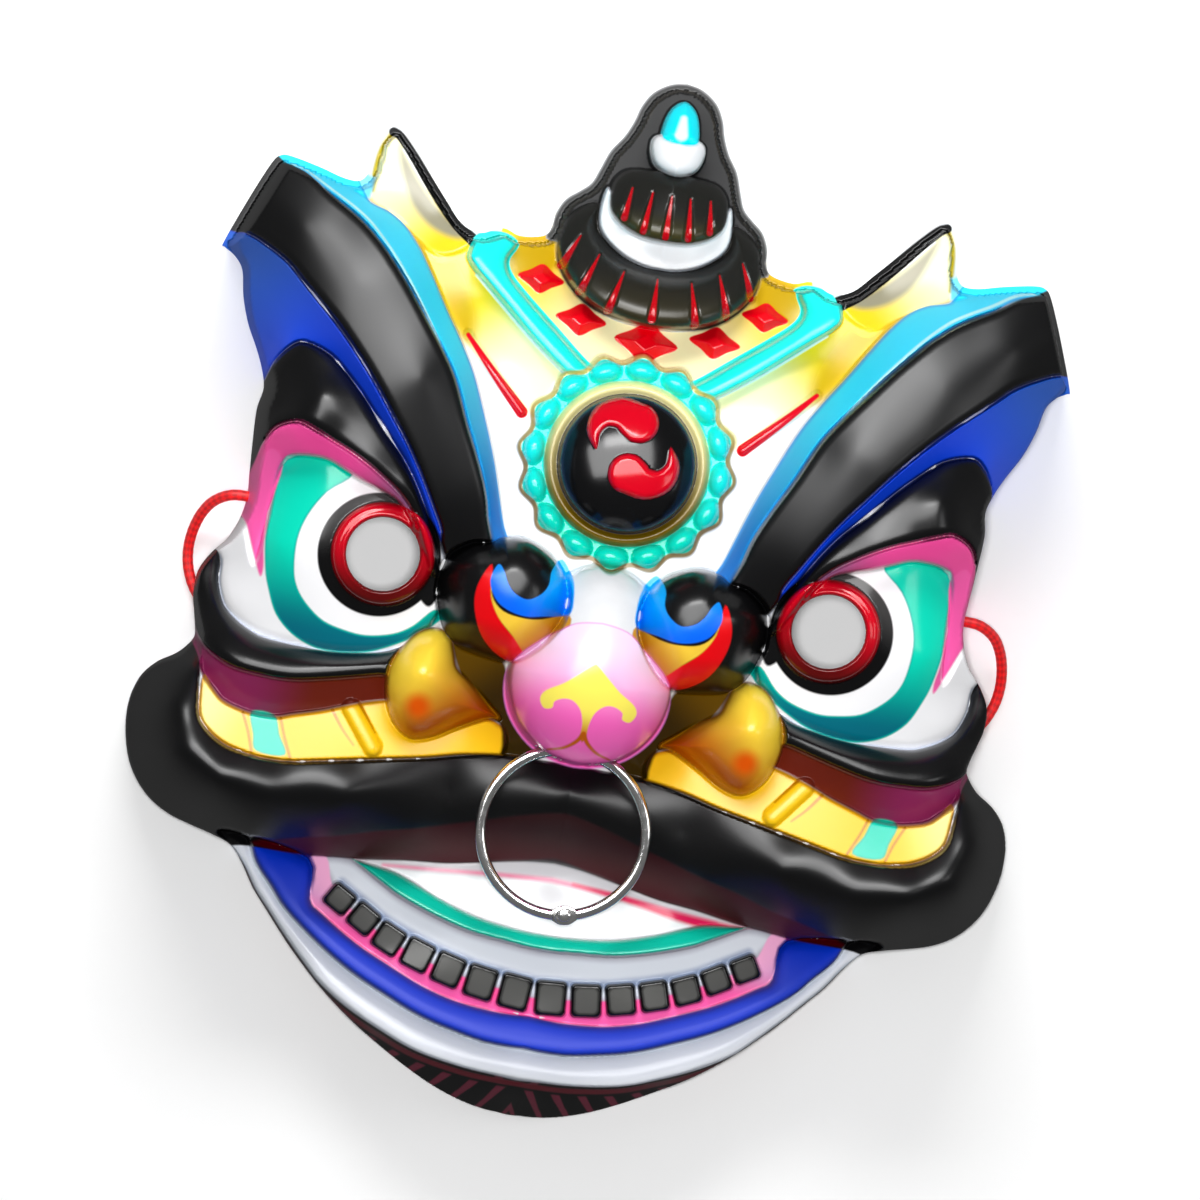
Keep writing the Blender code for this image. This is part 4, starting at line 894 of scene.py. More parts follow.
@dataclass
class Brows:
    """The sweeping brows: cyan walls, black faces and deep blue undersides."""

    def rises(self) -> list[Rise]:
        """The wall, the face and the underside of a brow."""
        return [
            Form(
                2, BROW_FOOT + BROW_TOP[::-1],
                [
                    (98, 127, 12), (80, 121, 24), (65, 111, 32), (50, 88, 45), (40, 68, 51), (33, 49, 55),
                    (28, 36, 58), (101, 126, 46), (92, 121, 54), (75, 109, 63), (60, 91, 68), (50, 77, 70),
                    (41, 58, 69), (34, 36, 65),
                ], shoulder=0.0024, fall=0.0018, edge=0.001,
            ),
            Form(
                3, BROW_BOTTOM + LID_TOP[::-1] + [(105, 60), (112, 72), (118, 88), (124, 103)],
                [
                    (116, 107, 42), (95, 96, 63), (75, 76.5, 73), (60, 57.5, 75), (50, 41.5, 71),
                    (45, 29, 65), (91, 81, 58), (97, 77, 50), (101, 68, 34), (82, 76, 62), (70, 64, 66),
                    (60, 53, 67), (50, 37, 65), (46, 26, 62), (116, 101, 30), (111, 92, 34), (107, 83, 34),
                    (103, 75, 32),
                ], shoulder=0.001, fall=0.0005, edge=0.001,
            ),
            Form(
                4, BROW_TOP + BROW_BOTTOM[::-1] + [(124, 112), (114, 131)],
                [
                    (103, 127, 54), (85, 117, 64), (65, 97.5, 72), (50, 77, 74), (40, 55, 73), (34, 36, 68),
                    (116, 107, 46), (95, 96, 67), (75, 76.5, 77), (60, 57.5, 79), (50, 41.5, 75),
                    (45, 30, 68), (108, 117, 55), (98, 111, 64), (80, 98, 73), (60, 76, 79),
                ], shoulder=0.0026, fall=0.0022, edge=0.001,
            ),
        ]

    def zone(self) -> Shape:
        """From just outside the cyan wall to the upper lid."""
        return Patch(
            [(126, 104), (126, 136), (100, 135), (84, 128.5), (82, 123.5)]
            + [(c, r + 1.6) for c, r in BROW_FOOT[3:]] + [(45.5, 24)] + LID_TOP[::-1] + [(104, 58)],
            smooth=False,
        )

    def coats(self) -> list[Coat]:
        """Paint of the brows."""
        wall = [
            (110, 127), (108, 131), (98, 129.6), (90, 128), (84.5, 127), (82.2, 123.6),
        ] + BROW_FOOT[3:-1] + [(26.5, 33), (32, 30)] + BROW_TOP[::-1][1:-1] + [(105, 126.5)]
        side = BROW_BOTTOM + LID_TOP[::-1] + [(102.5, 60), (112, 72), (118, 88), (126, 103)]
        face = BROW_TOP[1:] + BROW_BOTTOM[::-1] + [(126, 112), (116, 133), (104, 127.5)]
        light = [
            (103, 127.6), (98, 126.2), (91, 122), (84.2, 118.2), (78.8, 114.4), (71.2, 106.6), (61.6, 94.2),
            (51.8, 78.6), (42.6, 59.6), (36.4, 43),
        ]
        return [
            Coat(
                "brow_flange",
                Patch(
                    [(126, 103), (126, 136), (100, 136), (80, 128), (80.5, 122), (98, 124)], smooth=False,
                ), Finish((0.20, 0.75, 0.98), 0.4), 0.0006,
            ),
            Coat(
                "brow_wall", Patch(wall),
                Finish(
                    CYAN, 0.62, edge_color=(0.0, 0.34, 0.85), edge_width=0.0010,
                    fade_color=(0.0, 0.17, 0.60), fade=((56, 90), (32, 40)),
                ),
            # Painted highlight: a pale line along the top edge of the cyan wall, beside the black brow face.
            ), Coat("brow_painted_highlight", Stroke(light, 0.0007, 0.0005), Finish((0.55, 0.94, 1.0), 0.4), 0.0003),
            Coat(
                "brow_side", Patch(side),
                Finish(
                    DEEP_BLUE, 0.6, edge_color=(0.0, 0.04, 0.6), edge_width=0.0010, fade_color=NAVY,
                    fade=((84, 80), (112, 102)),
                ), 0.0003,
            ), Coat("brow_face", Patch(face), Finish(BLACK, 0.35), 0.0003),
        ]


@dataclass(frozen=True)
class EyeRing:
    """The rolled rim of the eye hole: a half-round ring outside the hole's radius."""

    level: int = 55
    column: float = 61.3
    row: float = 27.0
    width: float = 0.0040
    rise: float = 0.0035
    both_sides: bool = True

    def raise_on(self, height: Array, x: Array, y: Array) -> Array:
        """Height plus a half round of the ring's width, and half of its rise within the hole."""
        ex, ey, _ = face_point(self.column, self.row)
        share = (np.hypot(x - ex, y - ey) - EYE_HOLE / 2) / self.width
        ring = np.sqrt(np.clip(1 - (2 * share - 1) ** 2, 0, 1))
        return height + self.rise * ring + self.rise * 0.5 * ease(-share, -0.5, 0)


@dataclass
class Eyes:
    """The eyes: lids, eyeball with its coloured rings, and the rolled rim of the hole."""

    ring: EyeRing = field(default_factory=EyeRing)

    def rises(self) -> list[Rise]:
        """Eyeball, upper lid with its rim, lower lid and the hole's rim."""
        return [
            Form(
                5,
                EYE_BOTTOM + [
                    (44, 13), (43, 22), (46, 32), (54, 42), (65, 50), (80, 56), (92, 54), (99, 44),
                    (101.5, 33), (105, 26),
                ],
                [
                    (62, 27, 62), (62, 44, 60), (80, 30, 61), (90, 25, 56), (99, 25, 44), (103, 18, 36),
                    (85, 5, 54), (70, 3, 58), (55, 5, 58), (97, 8, 46), (80, 46, 60), (48, 18, 60),
                    (97, 38, 46),
                ], shoulder=0.003, fall=0.002, edge=0.001,
            ),
            Form(
                6, LID_TOP[::-1] + [(106, 58), (106, 36), (101, 34)] + LID_RIM + [(50, 29), (47.5, 24)],
                [
                    (91, 79, 60), (80, 74, 66), (70, 63, 70), (60, 52, 71), (50, 36, 68), (46, 26, 64),
                    (85, 67, 72), (95, 62, 60), (99, 50, 46), (90, 60, 70), (80, 56.5, 73), (70, 52, 74),
                    (60, 45.5, 73), (97, 52, 58), (99.5, 42, 44),
                ], shoulder=0.003, fall=0.0024, edge=0.001,
            ),
            Form(
                7, LID_RIM + EYE_TOP[::-1] + [(95, 18), (99, 28)],
                [
                    (90, 54, 65), (80, 53, 68), (70, 48, 69), (60, 43, 68), (96, 50, 56), (97, 40, 49),
                    (96, 28, 46), (94, 19, 47),
                ], shoulder=0.0024, fall=0.0018, edge=0.001,
            ),
            Form(
                8, EYE_BOTTOM + LID_BOTTOM[::-1],
                [(107, 15, 36), (106, 4, 44), (100, -2, 55), (90, -6, 61), (75, -6, 64), (60, -3, 65)],
                shoulder=0.0048, fall=0.0055, edge=0.001,
            ), self.ring,
        ]

    def zone(self) -> Shape:
        """From the upper lid down to the foot of the lower lid."""
        return Patch(
            LID_TOP[::-1] + [(112, 60), (128, 20), (118, -3)] + LID_BOTTOM[3:] + [(44, 0), (43, 14)],
            smooth=False,
        )

    def coats(self) -> list[Coat]:
        """Paint of the eyes, with the lids over the eyeball."""
        crescent = [
            (91, 48), (93, 38), (93.5, 28), (92, 18), (90, 12), (87, 6), (82, 1.5), (76, -1), (70, -1.6),
            (62, -0.4), (55, 2.6), (48, 7), (42, 13), (45, 14.5), (50, 9.2), (55, 6.2), (62, 4.6), (68, 5),
            (74, 6.5), (79, 10), (82.4, 14), (84.2, 19), (84.7, 27), (83, 34), (79, 41), (73, 47), (80, 51),
        ]
        lid = LID_TOP[::-1] + [(103, 58), (103, 36), (100.5, 33)] + LID_RIM[1:] + [(50, 29), (47.5, 24)]
        wedge = [
            (101, 33), (98.5, 28), (96, 22), (93, 15.5), (92.4, 18), (93.5, 25), (93.6, 35), (92, 46),
            (96, 50), (100, 42),
        ]
        rim = [(100.5, 36)] + LID_RIM[1:] + EYE_TOP[::-1][:-2] + [(93.6, 34), (97, 30)]
        corner = [
            (45, 26), (47, 31), (50, 38), (54, 43.5), (57.5, 42), (53, 35.5), (50.6, 29), (49.8, 23),
            (50, 18), (46.5, 15), (44, 20),
        ]
        foot = EYE_BOTTOM + LID_BOTTOM[::-1]
        eye = self.ring
        # The eye's red rim turns dark maroon towards its bottom: painted shade on its lower side.
        red = Finish((0.62, 0.0, 0.012), 0.16, fade_color=(0.10, 0.002, 0.002), fade=((62, 33), (60, 14)))
        return [
            Coat(
                "temple",
                Patch([(101.5, 70), (98.5, 60), (99.5, 30), (104, 20), (118, 20), (118, 70)], smooth=False),
                Finish(BLACK, 0.38), 0.0006,
            ),
            Coat(
                "eyeball", Patch(self.eyeball_area()),
                Finish((0.95, 0.95, 0.97), 0.22, edge_color=(0.50, 0.56, 0.70), edge_width=0.0010), 0.0003,
            ),
            Coat(
                "crescent", Patch(crescent),
                Finish(
                    (0.0, 0.72, 0.50), 0.2, edge_color=(0.0, 0.46, 0.38), edge_width=0.0009,
                    fade_color=(0.0, 0.14, 0.20), fade=((74, 27), (74, 2)),
                ), 0.0003,
            ),
            # The black iris turns grey towards its upper side: a painted highlight.
            Coat(
                "iris", Disc(eye.column + 0.9, eye.row - 0.3, 0.0168),
                Finish(BLACK, 0.14, fade_color=(0.05, 0.05, 0.05), fade=((62, 30), (68, 42))), 0.0003,
            ), Coat("corner", Patch(corner), Finish(BLACK, 0.2), 0.0004),
            Coat("lid", Patch(lid), Finish(BLACK, 0.31)),
            Coat(
                "lid_rim", Patch(rim),
                Finish((0.95, 0.075, 0.35), 0.3, fade_color=(0.30, 0.10, 0.22), fade=((76, 50), (58, 42))),
                0.0003,
            ), Coat("lid_wedge", Patch(wedge), Finish((1.0, 0.11, 0.42), 0.3), 0.0004),
            Coat("eye_ring", Disc(eye.column, eye.row, 0.0140), red, 0.0003),
            Coat("lower_lid", Patch(foot), Finish(BLACK, 0.27)),
        ]

    def eyeball_area(self) -> list[tuple[float, float]]:
        """The outline of the eyeball, that the lids' paint laps over."""
        return EYE_BOTTOM + [
            (44, 13), (43, 22), (46, 32), (54, 42), (65, 50), (80, 56), (92, 54), (99, 44), (101.3, 33),
            (105, 26),
        ]


@dataclass(frozen=True)
class NoseBall:
    """The ball of the nose, whose upper side runs up into the bridge."""

    level: int = 52
    row: float = 2.0
    radius: float = 22.5
    reach: float = 33.0
    waist: float = 61.0
    tip: float = 88.0
    both_sides: bool = True

    def raise_on(self, height: Array, x: Array, y: Array) -> Array:
        """Height with an elliptic dome: waist + (tip - waist) * sqrt(1 - distance squared)."""
        _, cy, waist = face_point(0, self.row, self.waist)
        tip, radius = self.tip * STEP_SIZE, self.radius * COLUMN_SIZE
        reach = np.where(y > cy, self.reach * ROW_SIZE, radius)
        away = np.hypot(x / radius, (y - cy) / reach)
        dome = np.sqrt(np.clip(1 - away**2, 0, 1))
        upper = ease(y - cy, 0, 0.35 * radius)
        ball, slide = waist + (tip - waist) * dome, height + (tip - height) * dome**1.15
        raised = np.maximum(height, ball * (1 - upper) + slide * upper)
        return height + ease(1 - away, 0, 0.0010 / radius) * (raised - height)


@dataclass
class Nose:
    """The pink nose with its brushed motif, and the curls beside it."""

    ball: NoseBall = field(default_factory=NoseBall)

    def rises(self) -> list[Rise]:
        """The ball and a curl."""
        return [
            self.ball,
            Form(
                54, CURL,
                [(24, 21, 80), (35, 22, 76), (24, 32, 78), (14, 22, 76), (26, 9, 76), (41, 18, 70)],
                shoulder=0.01, fall=0.017, edge=0.001,
            ),
        ]

    def zone(self) -> Shape:
        """The ball, the bridge and the curls."""
        return Patch(
            [
                (-6, 30), (10, 33), (15, 35), (20, 38.5), (33, 38.5), (38, 36), (45.5, 31), (47, 21),
                (45, 13), (41, 6.5), (36, 3), (26, 2), (24.5, -6), (18, -17), (8, -23.5), (-6, -24),
            ], smooth=False,
        )

    def coats(self) -> list[Coat]:
        """Paint of the nose and the curls."""
        ball = [
            (-6, 18.6), (0, 18.8), (7, 17.6), (11.5, 14.5), (16.5, 10.5), (20, 7), (22.6, 2), (22.2, -5),
            (19.2, -11.4), (13.6, -17), (7, -20.2), (0, -21.2), (-6, -20.6),
        ]
        motif = [
            (-2, 7.3), (0, 7.6), (3.6, 4.6), (7.6, 1.2), (12, -1.6), (13.2, -4.0), (11.8, -6.4),
            (9.6, -6.0), (9.3, -4.2), (7, -3.0), (4.4, -3.2), (2.0, -5.4), (0.9, -9), (0.7, -13), (-2, -13),
        ]
        blue = [
            (30.4, 29.6), (31.8, 25), (29.6, 20.4), (26, 18), (21, 17.0), (16, 17.8), (9.4, 19.4),
            (8.6, 24), (9.6, 29.6), (13, 34), (15.6, 30.5), (15.9, 26.5), (17.6, 23.6), (21, 21.6),
            (24.6, 22.6), (27, 25), (28.6, 28.2),
        ]
        yellow = [
            (31.6, 27), (30.6, 21), (27, 17.4), (21, 16.4), (16, 17), (9, 19.2), (9.4, 14), (14.4, 8.6),
            (18, 6.4), (23, 11), (28, 15.6), (30.9, 20.8),
        ]
        red = [
            (32, 29.4), (34.7, 24), (34.9, 18), (32.2, 11), (28, 6.6), (23, 4.2), (19, 4.0), (16.6, 7.6),
            (20.4, 9.6), (25, 12.6), (29, 17), (31.2, 22),
        ]
        return [
            Coat("curl", Patch(CURL), Finish(BLACK, 0.26), 0.0003),
            Coat("curl_red", Patch(red), Finish((0.84, 0.0, 0.004), 0.3), 0.0003),
            Coat(
                "curl_yellow", Patch(yellow),
                Finish((0.95, 0.62, 0.05), 0.3, fade_color=(0.55, 0.22, 0.0), fade=((24, 17), (15, 8))),
                0.0003,
            ),
            Coat(
                "curl_blue", Patch(blue),
                Finish((0.0, 0.40, 0.97), 0.3, fade_color=(0.0, 0.14, 0.95), fade=((15, 30), (22, 17))),
                0.0003,
            ),
            Coat(
                "nose", Patch(ball),
                Finish(
                    (1.0, 0.14, 0.54), 0.24, edge_color=(0.80, 0.22, 0.66), edge_width=0.0005,
                    fade_color=(0.97, 0.72, 0.92), fade=((0, -9), (0, 14)),
                ), 0.0004,
            ),
            Coat(
                "motif", Patch(motif),
                Finish((1.0, 0.86, 0.12), 0.2, fade_color=(0.62, 0.14, 0.0), fade=((0, -5), (0, -13.5))),
                0.0003,
            ),
            Coat(
                "motif_line", Stroke([(0, -11.5), (1.6, -14), (4.6, -16.2), (8.6, -17.4)], 0.0013, 0.0005),
                Finish((0.55, 0.11, 0.0), 0.16), 0.0003,
            ),
        ]


@dataclass
class Muzzle:
    """Gums, fangs and the upper lip that rolls out over the cheeks."""

    roll: Table = ((62.5, -15.5), (55, -25))

    def rises(self) -> list[Rise]:
        """Gum, its diagonal roll, fang and lip."""
        return [
            Form(
                9, GUM_TOP + LIP_TOP[:-2][::-1],
                [
                    (100, -20, 55), (90, -26, 58), (75, -25, 60), (60, -22, 60), (45, -20, 57),
                    (30, -17, 53), (20, -17, 49),
                ], shoulder=0.0012, fall=0.0008, edge=0.001,
            ),
            Form(
                10,
                LIP_TOP + LIP_BOTTOM[::-1] + [
                    (112, -57), (122, -50), (129, -34), (128, -16), (119, -7), (109, -1),
                ],
                [
                    (0, -27, 51), (18, -28, 51), (32, -33, 51.5), (42, -36, 56.5), (60, -40, 65),
                    (80, -43, 68), (95, -42, 68), (108, -36, 61), (111, -22, 56), (107, -12, 48),
                    (0, -34, 50), (20, -39, 49), (40, -46, 49), (60, -50.5, 46), (85, -54, 41),
                    (0, -48, 34), (20, -51, 34), (40, -54, 33), (60, -56.5, 31), (85, -58, 22),
                    (0, -22, 47), (20, -21.8, 48.5), (40, -25.5, 55), (60, -29.5, 61), (80, -33, 64),
                    (95, -31, 63), (102, -24, 60), (103, -16, 54), (121, -26, 16), (119.5, -38, 15),
                    (112, -49.5, 14), (99, -55, 16), (118, -15, 18), (109, -7, 24),
                ], shoulder=0.001, fall=0.0006, edge=0.001,
            ), Ridge(30, self.roll, 0.0050, 0.0022),
            Form(
                53, FANG,
                [(45, -3, 73), (45, -14, 69), (34, -9, 62), (26, -10.5, 54), (45, 7, 66), (52, -5, 69)],
                shoulder=0.0075, fall=0.012, edge=0.001,
            ),
        ]

    def zone(self) -> Shape:
        """From the foot of the lower lid to the lip's lower edge."""
        return Patch(
            [(-6, -20), (22, -14), (23, 3), (37, 4.5), (43, 12), (52, 6)]
            + LID_BOTTOM[::-1][1:-2] + [(112, -3), (128, -8), (130, -60)] + LIP_BOTTOM[:-1] + [(-6, -48.3)],
            smooth=False,
        )

    def coats(self) -> list[Coat]:
        """Paint of the muzzle."""
        band = [(120, 22)] + LID_BOTTOM + [(44, -8)] + GUM_TOP[:-2][::-1] + [
            (108, -8), (116, -5), (120, 10),
        ]
        gum = [(103.5, -13.6)] + GUM_TOP[1:] + [(16, -18), (17, -21)] + LIP_TOP[:-3][::-1][:-2]
        lip = [(106, -8), (104.4, -13)] + LIP_TOP[1:-2] + [
            (0, -20.5), (-8, -20.5), (-8, -48.2), (0, -48),
        ] + LIP_BOTTOM[::-1][2:] + [(104, -58), (124, -54), (130, -34), (129, -16), (119, -4), (110, -4)]
        under = [
            (82, -57), (79, -55.4), (70, -52.8), (60, -50.5), (50, -47.4), (40, -45), (30, -42), (20, -39),
            (10, -36), (0, -34), (-8, -35), (-8, -48), (0, -46.6),
        ] + LIP_BOTTOM[::-1][2:-2]
        dark = [
            (16, -24), (10, -19.5), (20, -4), (24.5, 4.6), (33, 5.6), (38.5, 8.5), (37.2, 3), (33.4, -3.6),
            (28.4, -10.6), (22, -13), (20.4, -18), (20, -21),
        ]
        fang = FANG
        quad = [(89, -21.2), (82.6, -21.1), (80.4, -26), (78, -31.2), (86, -31.4), (87.6, -27)]
        lines = (
            Stroke([(67.4, -17), (64, -21.5), (60.2, -25.4)], 0.0009, 0.0004),
            Stroke([(60.4, -14), (57.6, -17.6), (55, -21)], 0.0009, 0.0004),
            Stroke([(91.2, -21.8), (88.8, -27), (87.2, -31.8)], 0.0007),
            Stroke([(80.8, -21.6), (79.2, -26), (76.6, -31.6)], 0.0007),
        )
        return [
            Coat(
                "lid_band", Patch(band),
                Finish(
                    (0.24, 0.016, 0.09), 0.32, fade_color=(0.15, 0.014, 0.005), fade=((92, -12), (72, -12)),
                ), 0.0004,
            ),
            # The gum turns pale yellow towards its outer end: a painted highlight.
            Coat(
                "gum", Patch(gum),
                Finish(
                    (0.93, 0.56, 0.005), 0.34, edge_color=(0.60, 0.26, 0.0), edge_width=0.0016,
                    fade_color=(1.0, 0.82, 0.20), fade=((88, -26), (101, -18)),
                ), 0.0003,
            ), Coat("gum_lines", Group(lines), Finish((0.48, 0.17, 0.0), 0.17), 0.0004),
            Coat(
                "gum_quad", Patch(quad),
                Finish((0.0, 0.60, 0.44), 0.2, edge_color=(0.0, 0.42, 0.30), edge_width=0.0008), 0.0004,
            ),
            Coat(
                "dark_field", Patch(dark),
                Finish((0.035, 0.018, 0.0), 0.22, fade_color=(0.14, 0.07, 0.0), fade=((26, -8), (36, 4))),
                0.0006,
            ),
            # The fang is lighter yellow at its upper side and darker orange-red towards its lower side:
            # painted light and shade.
            Coat(
                "fang", Patch(fang),
                Finish(
                    (1.0, 0.70, 0.05), 0.26, edge_color=(0.36, 0.14, 0.0), edge_width=0.0012,
                    fade_color=(0.48, 0.09, 0.0), fade=((48, 0), (38, -17)),
                ), 0.0004,
            ), Coat("fang_spot", Disc(45, -12, 0.0032), Finish((0.72, 0.09, 0.0), 0.14), 0.0022),
            Coat("lip", Patch(lip), Finish(BLACK, 0.34), 0.0003),
            # The lip's underside is red paint darkened nearly to black: painted shade under the overhanging
            # lip.
            Coat(
                "lip_under_red_painted_shade", Patch(under),
                Finish(
                    (0.022, 0.0, 0.001), 0.55, fade_color=(0.065, 0.0, 0.003), fade=((0, -38), (0, -50)),
                ), 0.0006,
            ),
        ]


@dataclass
class Jaw:
    """The open mouth: tongue, teeth in the lower gum, and the rolled bands of jaw, chin and beard."""

    teeth: int = 7
    pitch: float = 0.0099
    closer: float = 0.0128
    width: float = 0.0088
    height: float = 0.0098
    taper: float = 0.25
    rise: float = 0.0028

    def rises(self) -> list[Rise]:
        """Tongue rim, jaw, chin and the teeth."""
        return [
            Form(
                11, TONGUE_EDGE + TONGUE_RIM[::-1], [(0, -69.5, 41), (30, -65, 40), (50, -58.5, 36)],
                shoulder=0.0018, fall=0.0016, edge=0.0008,
            ),
            Form(
                12, GUM_LINE + JAW_RIM[::-1], [(0, -95, 44), (40, -87, 40), (62, -74, 33), (80, -59, 24)],
                shoulder=0.0042, fall=0.0038, edge=0.001,
            ),
            Form(
                13, JAW_RIM + CHIN[::-1],
                [(0, -103, 38), (40, -96, 34), (62, -83, 27), (80, -66, 18), (88, -57, 16)], shoulder=0.004,
                fall=0.0034,
            ), ToothRow(61, self),
        ]

    def zone(self) -> Shape:
        """Everything below the lip."""
        return Patch(
            [(-6, -48.3)] + LIP_BOTTOM[::-1][1:] + [(110, -70), (60, -125), (-6, -125)], smooth=False,
        )

    def places(self) -> list[tuple[float, float, float, float, float]]:
        """Middle, direction along the gum and size share of each tooth of one side."""
        line = smooth_line(face_points(TOOTH_LINE), False, 8)
        lengths = np.concatenate([[0], np.cumsum(np.hypot(*np.diff(line, axis=0).T))])
        places = []
        for number in range(self.teeth):
            at = min((number + 0.5) * self.pitch * (1 - self.closer * number), lengths[-1])
            spots = np.clip([at - 0.003, at, at + 0.003], 0, lengths[-1])
            (bx, cx, fx), (by, cy, fy) = (np.interp(spots, lengths, line[:, axis]) for axis in (0, 1))
            length = math.hypot(fx - bx, fy - by)
            size = 1 - self.taper * number / (self.teeth - 1)
            places.append((cx, cy, (fx - bx) / length, (fy - by) / length, size))
        return places

    def coats(self) -> list[Coat]:
        """Paint of the mouth and the jaw."""
        palate = [
            (-8, -46), (0, -46), (20, -49), (40, -52), (60, -54.5), (70, -56.5), (66, -58.5), (55, -57),
            (46, -56.6), (30, -56), (15, -54), (0, -52.6), (-8, -52.8),
        ]
        corner = [(92, -54), (76, -55), (60, -54), (50, -55), (60, -57.5), (72, -59.5), (86, -60)]
        tongue = [
            (-8, -53.4), (0, -53.2), (12, -54.6), (25, -56.2), (40, -57), (50, -57), (45, -57.8),
            (40, -58.8), (30, -62.6), (20, -65.6), (10, -67.1), (0, -67.6), (-8, -67.4),
        ]
        grey = [
            (-8, -71.4), (0, -71.8), (10, -71.1), (20, -70.1), (30, -67.6), (40, -64.1), (46, -61),
            (55, -56.4), (63, -58), (56.5, -67), (48.8, -73), (41.5, -77), (33, -80), (24, -82.4),
            (14, -84.4), (0, -86), (-8, -86),
        ]
        gum = [
            (-8, -85), (0, -85), (14, -83.4), (24, -81.6), (33, -79.2), (41.5, -76), (48.8, -72),
            (55.5, -67.6), (59, -63.6), (61.5, -57),
        ] + GUM_LINE[:-1] + [(-8, -90.6)]
        jaw = GUM_LINE[:-1] + [(-8, -90.5), (-8, -99.3)] + JAW_RIM[::-1][1:]
        chin = JAW_RIM[:-1] + [(-8, -99.3), (-8, -107.5)] + CHIN[::-1][1:]
        line = Stroke([(c, r - 1.6) for c, r in CHIN], 0.0014)
        shadow = Stroke([(c, r + 4.4) for c, r in TOOTH_LINE], 0.0024)
        pink_line = Stroke([(0, -52.6), (15, -53.6), (30, -55), (46, -56.4)], 0.0012, 0.0006)
        red_line = Stroke(
            [(6, -52.8), (20, -54.2), (36, -56.6), (52, -58), (72, -59.6)], 0.0008, 0.0042, side=1,
        )
        return [
            Coat(
                "beard",
                Patch(
                    [(-8, -99)] + JAW_RIM[::-1][1:] + [(100, -60), (90, -90), (40, -125), (-8, -125)],
                    smooth=False,
                ), Finish(BLACK, 0.45), 0.0003,
            ), Coat("beard_tips", BeardTips(), Finish((0.13, 0.008, 0.028), 0.34), 0.0003),
            Coat("beard_line", line, Finish((0.10, 0.004, 0.012), 0.28), 0.0003),
            Coat("palate", Patch(palate), Finish((0.66, 0.64, 0.67), 0.3), 0.0008),
            Coat("mouth_corner", Patch(corner), Finish((0.12, 0.02, 0.08), 0.2), 0.0012),
            Coat("tongue", Patch(tongue), Finish((0.93, 0.94, 0.96), 0.25), 0.0006),
            Coat("tongue_line", pink_line, Finish((0.90, 0.20, 0.36), 0.18), 0.0008),
            Coat("tongue_red", red_line, Finish((0.80, 0.01, 0.10), 0.18), 0.0008),
            # The band is pale grey-white, and darker towards its border as painted shade in its groove.
            Coat(
                "mouth_grey", Patch(grey),
                Finish((0.74, 0.77, 0.84), 0.25, edge_color=(0.40, 0.40, 0.46), edge_width=0.0026), 0.0005,
            ),
            Coat(
                "tongue_rim", Patch(TONGUE_EDGE + TONGUE_RIM[::-1]),
                Finish((0.0, 0.52, 0.37), 0.25, edge_color=(0.0, 0.36, 0.27), edge_width=0.0008), 0.0003,
            ),
            Coat(
                "lower_gum", Patch(gum),
                Finish((1.0, 0.13, 0.42), 0.2, fade_color=(0.98, 0.45, 0.70), fade=((0, -76), (0, -66))),
                0.0004,
            ), Coat("gum_shadow", shadow, Finish((0.24, 0.30, 0.44), 0.3), 0.0011),
            Coat("teeth", ToothArea(self, 0.0), Finish(BLACK, 0.2), 0.0002),
            # The grey tops of the black teeth are a painted highlight: the sheen of satin black.
            Coat("teeth_tops_painted_sheen", ToothArea(self, 0.0012), Finish((0.085, 0.085, 0.08), 0.3), 0.0007),
            Coat(
                "jaw_rim", Patch(jaw),
                Finish((0.0, 0.030, 0.55), 0.6, edge_color=(0.0, 0.020, 0.30), edge_width=0.0022), 0.0003,
            ),
            # The white chin band greys towards its borders: painted shade on its rolled edges.
            Coat(
                "chin", Patch(chin),
                Finish((0.78, 0.81, 0.87), 0.3, edge_color=(0.50, 0.56, 0.66), edge_width=0.0012), 0.0003,
            ),
        ]


@dataclass(frozen=True)
class ToothRow:
    """The raised teeth: rounded squares along the gum, smaller to the side."""

    level: int
    jaw: Jaw
    both_sides: bool = True

    def raise_on(self, height: Array, x: Array, y: Array) -> Array:
        """Height plus the rise of the teeth, eased in over the width of their edge."""
        return height + self.jaw.rise * ease(ToothArea(self.jaw, 0.0).inside(x, y), -0.0004, 0.0007)


@dataclass(frozen=True)
class ToothArea:
    """The rounded squares of all teeth, drawn in by an inset."""

    jaw: Jaw
    inset: float
    corner: float = 0.0014

    def inside(self, x: Array, y: Array) -> Array:
        """Distance to the nearest tooth's border: a box's distance less its corner radius."""
        across = np.abs(x)
        best = np.full(x.shape, -FAR)
        border = self.inset + self.corner
        for cx, cy, tx, ty, size in self.jaw.places():
            along = np.abs((across - cx) * tx + (y - cy) * ty) - self.jaw.width * (1 + size) / 4 + border
            over = np.abs((y - cy) * tx - (across - cx) * ty) - self.jaw.height * size / 2 + border
            outside = np.hypot(np.maximum(along, 0), np.maximum(over, 0))
            outside = outside + np.minimum(np.maximum(along, over), 0)
            best = np.maximum(best, self.corner - outside)
        return best


